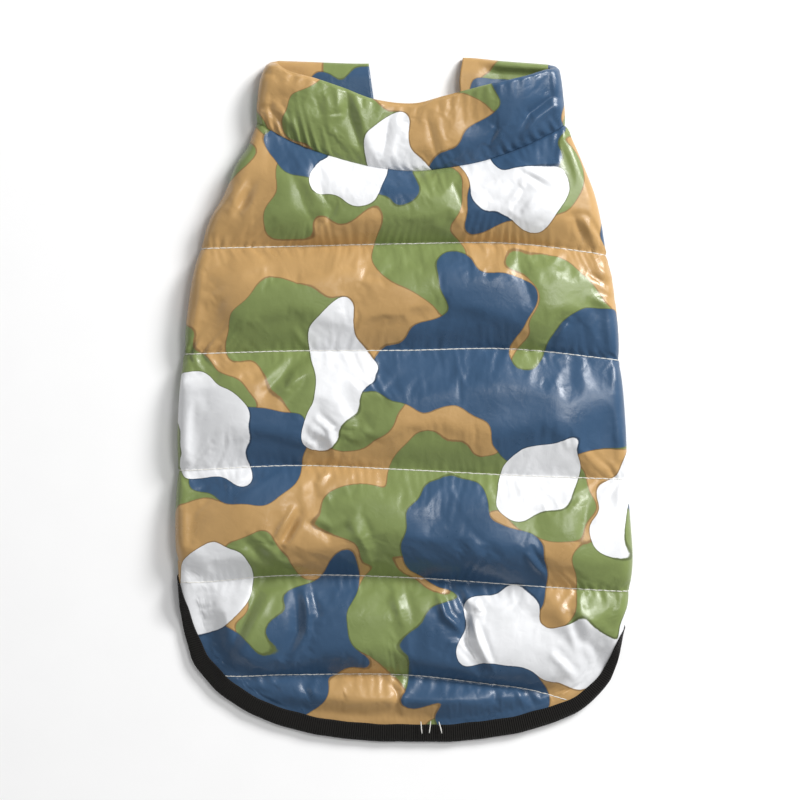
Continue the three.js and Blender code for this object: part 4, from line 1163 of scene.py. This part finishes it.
class VEST_OT_stitching(bpy.types.Operator):
    """Quilting stitches in rows across the back, and three short ones across the tape"""

    bl_idname = "vest.stitching"
    bl_label = "Stitching"

    def execute(self, context):
        trim = context.scene.vest_trim
        outer, _, flat, _, _ = back_grids()
        inside = slice(MARGIN_COLUMNS, -MARGIN_COLUMNS)
        runs = []
        for row in np.cumsum(CHANNEL_ROWS)[:-1]:
            line, cut = outer[row, inside], flat[row, inside]
            line = np.vstack([to_tape(cut[0], cut[0] - cut[2])[::-1], line, to_tape(cut[-1], cut[-1] - cut[-3])])
            runs.append(along_lines(line + (0, 0, 0.12), trim.stitch_pitch / MM, 0.5))
        runs += [along_lines(np.array(line, float), 1.6, 0) for line in TAPE_STITCHES]
        thread = finish_named("Polyester sewing thread", sewing_thread, trim)
        rows = sew("quilting_stitches", runs, trim.stitch_length / MM, trim.thread_width / MM, 5)
        rows.data.materials.clear()
        rows.data.materials.append(thread)
        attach(rows, "root")
        return {"FINISHED"}


class VEST_OT_closure(bpy.types.Operator):
    """Hook and loop strips between the laps of the fronts"""

    bl_idname = "vest.closure"
    bl_label = "Closure"

    def execute(self, context):
        for name, pitch, height in (("hook_strip", 0.9, 0.0004), ("loop_strip", 0.5, 0.0002)):
            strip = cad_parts[name]
            strip.data.materials.clear()
            strip.data.materials.append(closure_pile("Nylon " + name.replace("_", " "), pitch, height))
        return {"FINISHED"}


def add_light(name, place, size, power, reflected=True):
    bpy.ops.object.light_add(type="AREA", location=place)
    light = bpy.context.object
    light.name = name
    light.data.shape = "RECTANGLE"
    light.data.size, light.data.size_y = size
    light.data.energy = power
    light.rotation_euler = (-Vector(place)).to_track_quat("-Z", "Y").to_euler()
    light.visible_glossy = reflected


class VEST_OT_stage(bpy.types.Operator):
    """Pale paper floor, soft studio lights and the camera straight above"""

    bl_idname = "vest.stage"
    bl_label = "Stage"

    def execute(self, context):
        studio = context.scene.vest_studio
        bpy.ops.object.select_all(action="DESELECT")
        bpy.ops.mesh.primitive_plane_add(size=14, location=(0, 0, 0))
        floor = context.object
        floor.name = "floor"
        floor.data.materials.append(seamless_paper())
        add_light("key_softbox", (1.25, 1.15, 1.05), (0.7, 0.6), 46)
        add_light("fill_softbox", (-1.5, 0.3, 0.9), (1.2, 1.0), 3)
        add_light("top_softbox", (0.75, 0.5, 1.8), (0.55, 0.55), 12)
        add_light("low_softbox", (0.3, -1.6, 1.0), (1.2, 0.6), 7, reflected=False)
        world = bpy.data.worlds.new("Studio")
        world.use_nodes = True
        world.node_tree.nodes["Background"].inputs["Color"].default_value = (1, 1, 1, 1)
        world.node_tree.nodes["Background"].inputs["Strength"].default_value = 0.22
        context.scene.world = world
        context.scene.view_settings.view_transform = "Standard"
        bpy.ops.object.camera_add(location=(-0.00213, 0.00022, studio.camera_height), rotation=(0, 0, 0))
        camera = context.object
        camera.data.sensor_width = 36
        camera.data.lens = 36 * (studio.camera_height - 0.008) / studio.frame_width
        camera.data.clip_start = 0.01
        context.scene.camera = camera
        return {"FINISHED"}


STEPS = (
    VEST_OT_fronts, VEST_OT_back, VEST_OT_collar, VEST_OT_bindings,
    VEST_OT_stitching, VEST_OT_closure, VEST_OT_stage,
)


class VEST_PT_pieces(bpy.types.Panel):
    """The vest's pieces, in the order in which they are made"""

    bl_label = "Quilted dog vest"
    bl_idname = "VEST_PT_pieces"
    bl_space_type = "VIEW_3D"
    bl_region_type = "UI"
    bl_category = "Vest"

    def draw(self, context):
        for group in (context.scene.vest_shell, context.scene.vest_trim, context.scene.vest_studio):
            box = self.layout.box()
            for name in group.__annotations__:
                box.prop(group, name)
        for step in STEPS:
            self.layout.operator(step.bl_idname)


GROUPS = {"vest_shell": ShellSettings, "vest_trim": TrimSettings, "vest_studio": StudioSettings}


def register():
    for item in (*GROUPS.values(), *STEPS, VEST_PT_pieces):
        bpy.utils.register_class(item)
    for name, group in GROUPS.items():
        setattr(bpy.types.Scene, name, bpy.props.PointerProperty(type=group))


def unregister():
    for name in GROUPS:
        delattr(bpy.types.Scene, name)
    for item in reversed((*GROUPS.values(), *STEPS, VEST_PT_pieces)):
        bpy.utils.unregister_class(item)


def main():
    register()
    for step in STEPS:
        group, name = step.bl_idname.split(".")
        getattr(getattr(bpy.ops, group), name)()


if __name__ == "__main__":
    main()
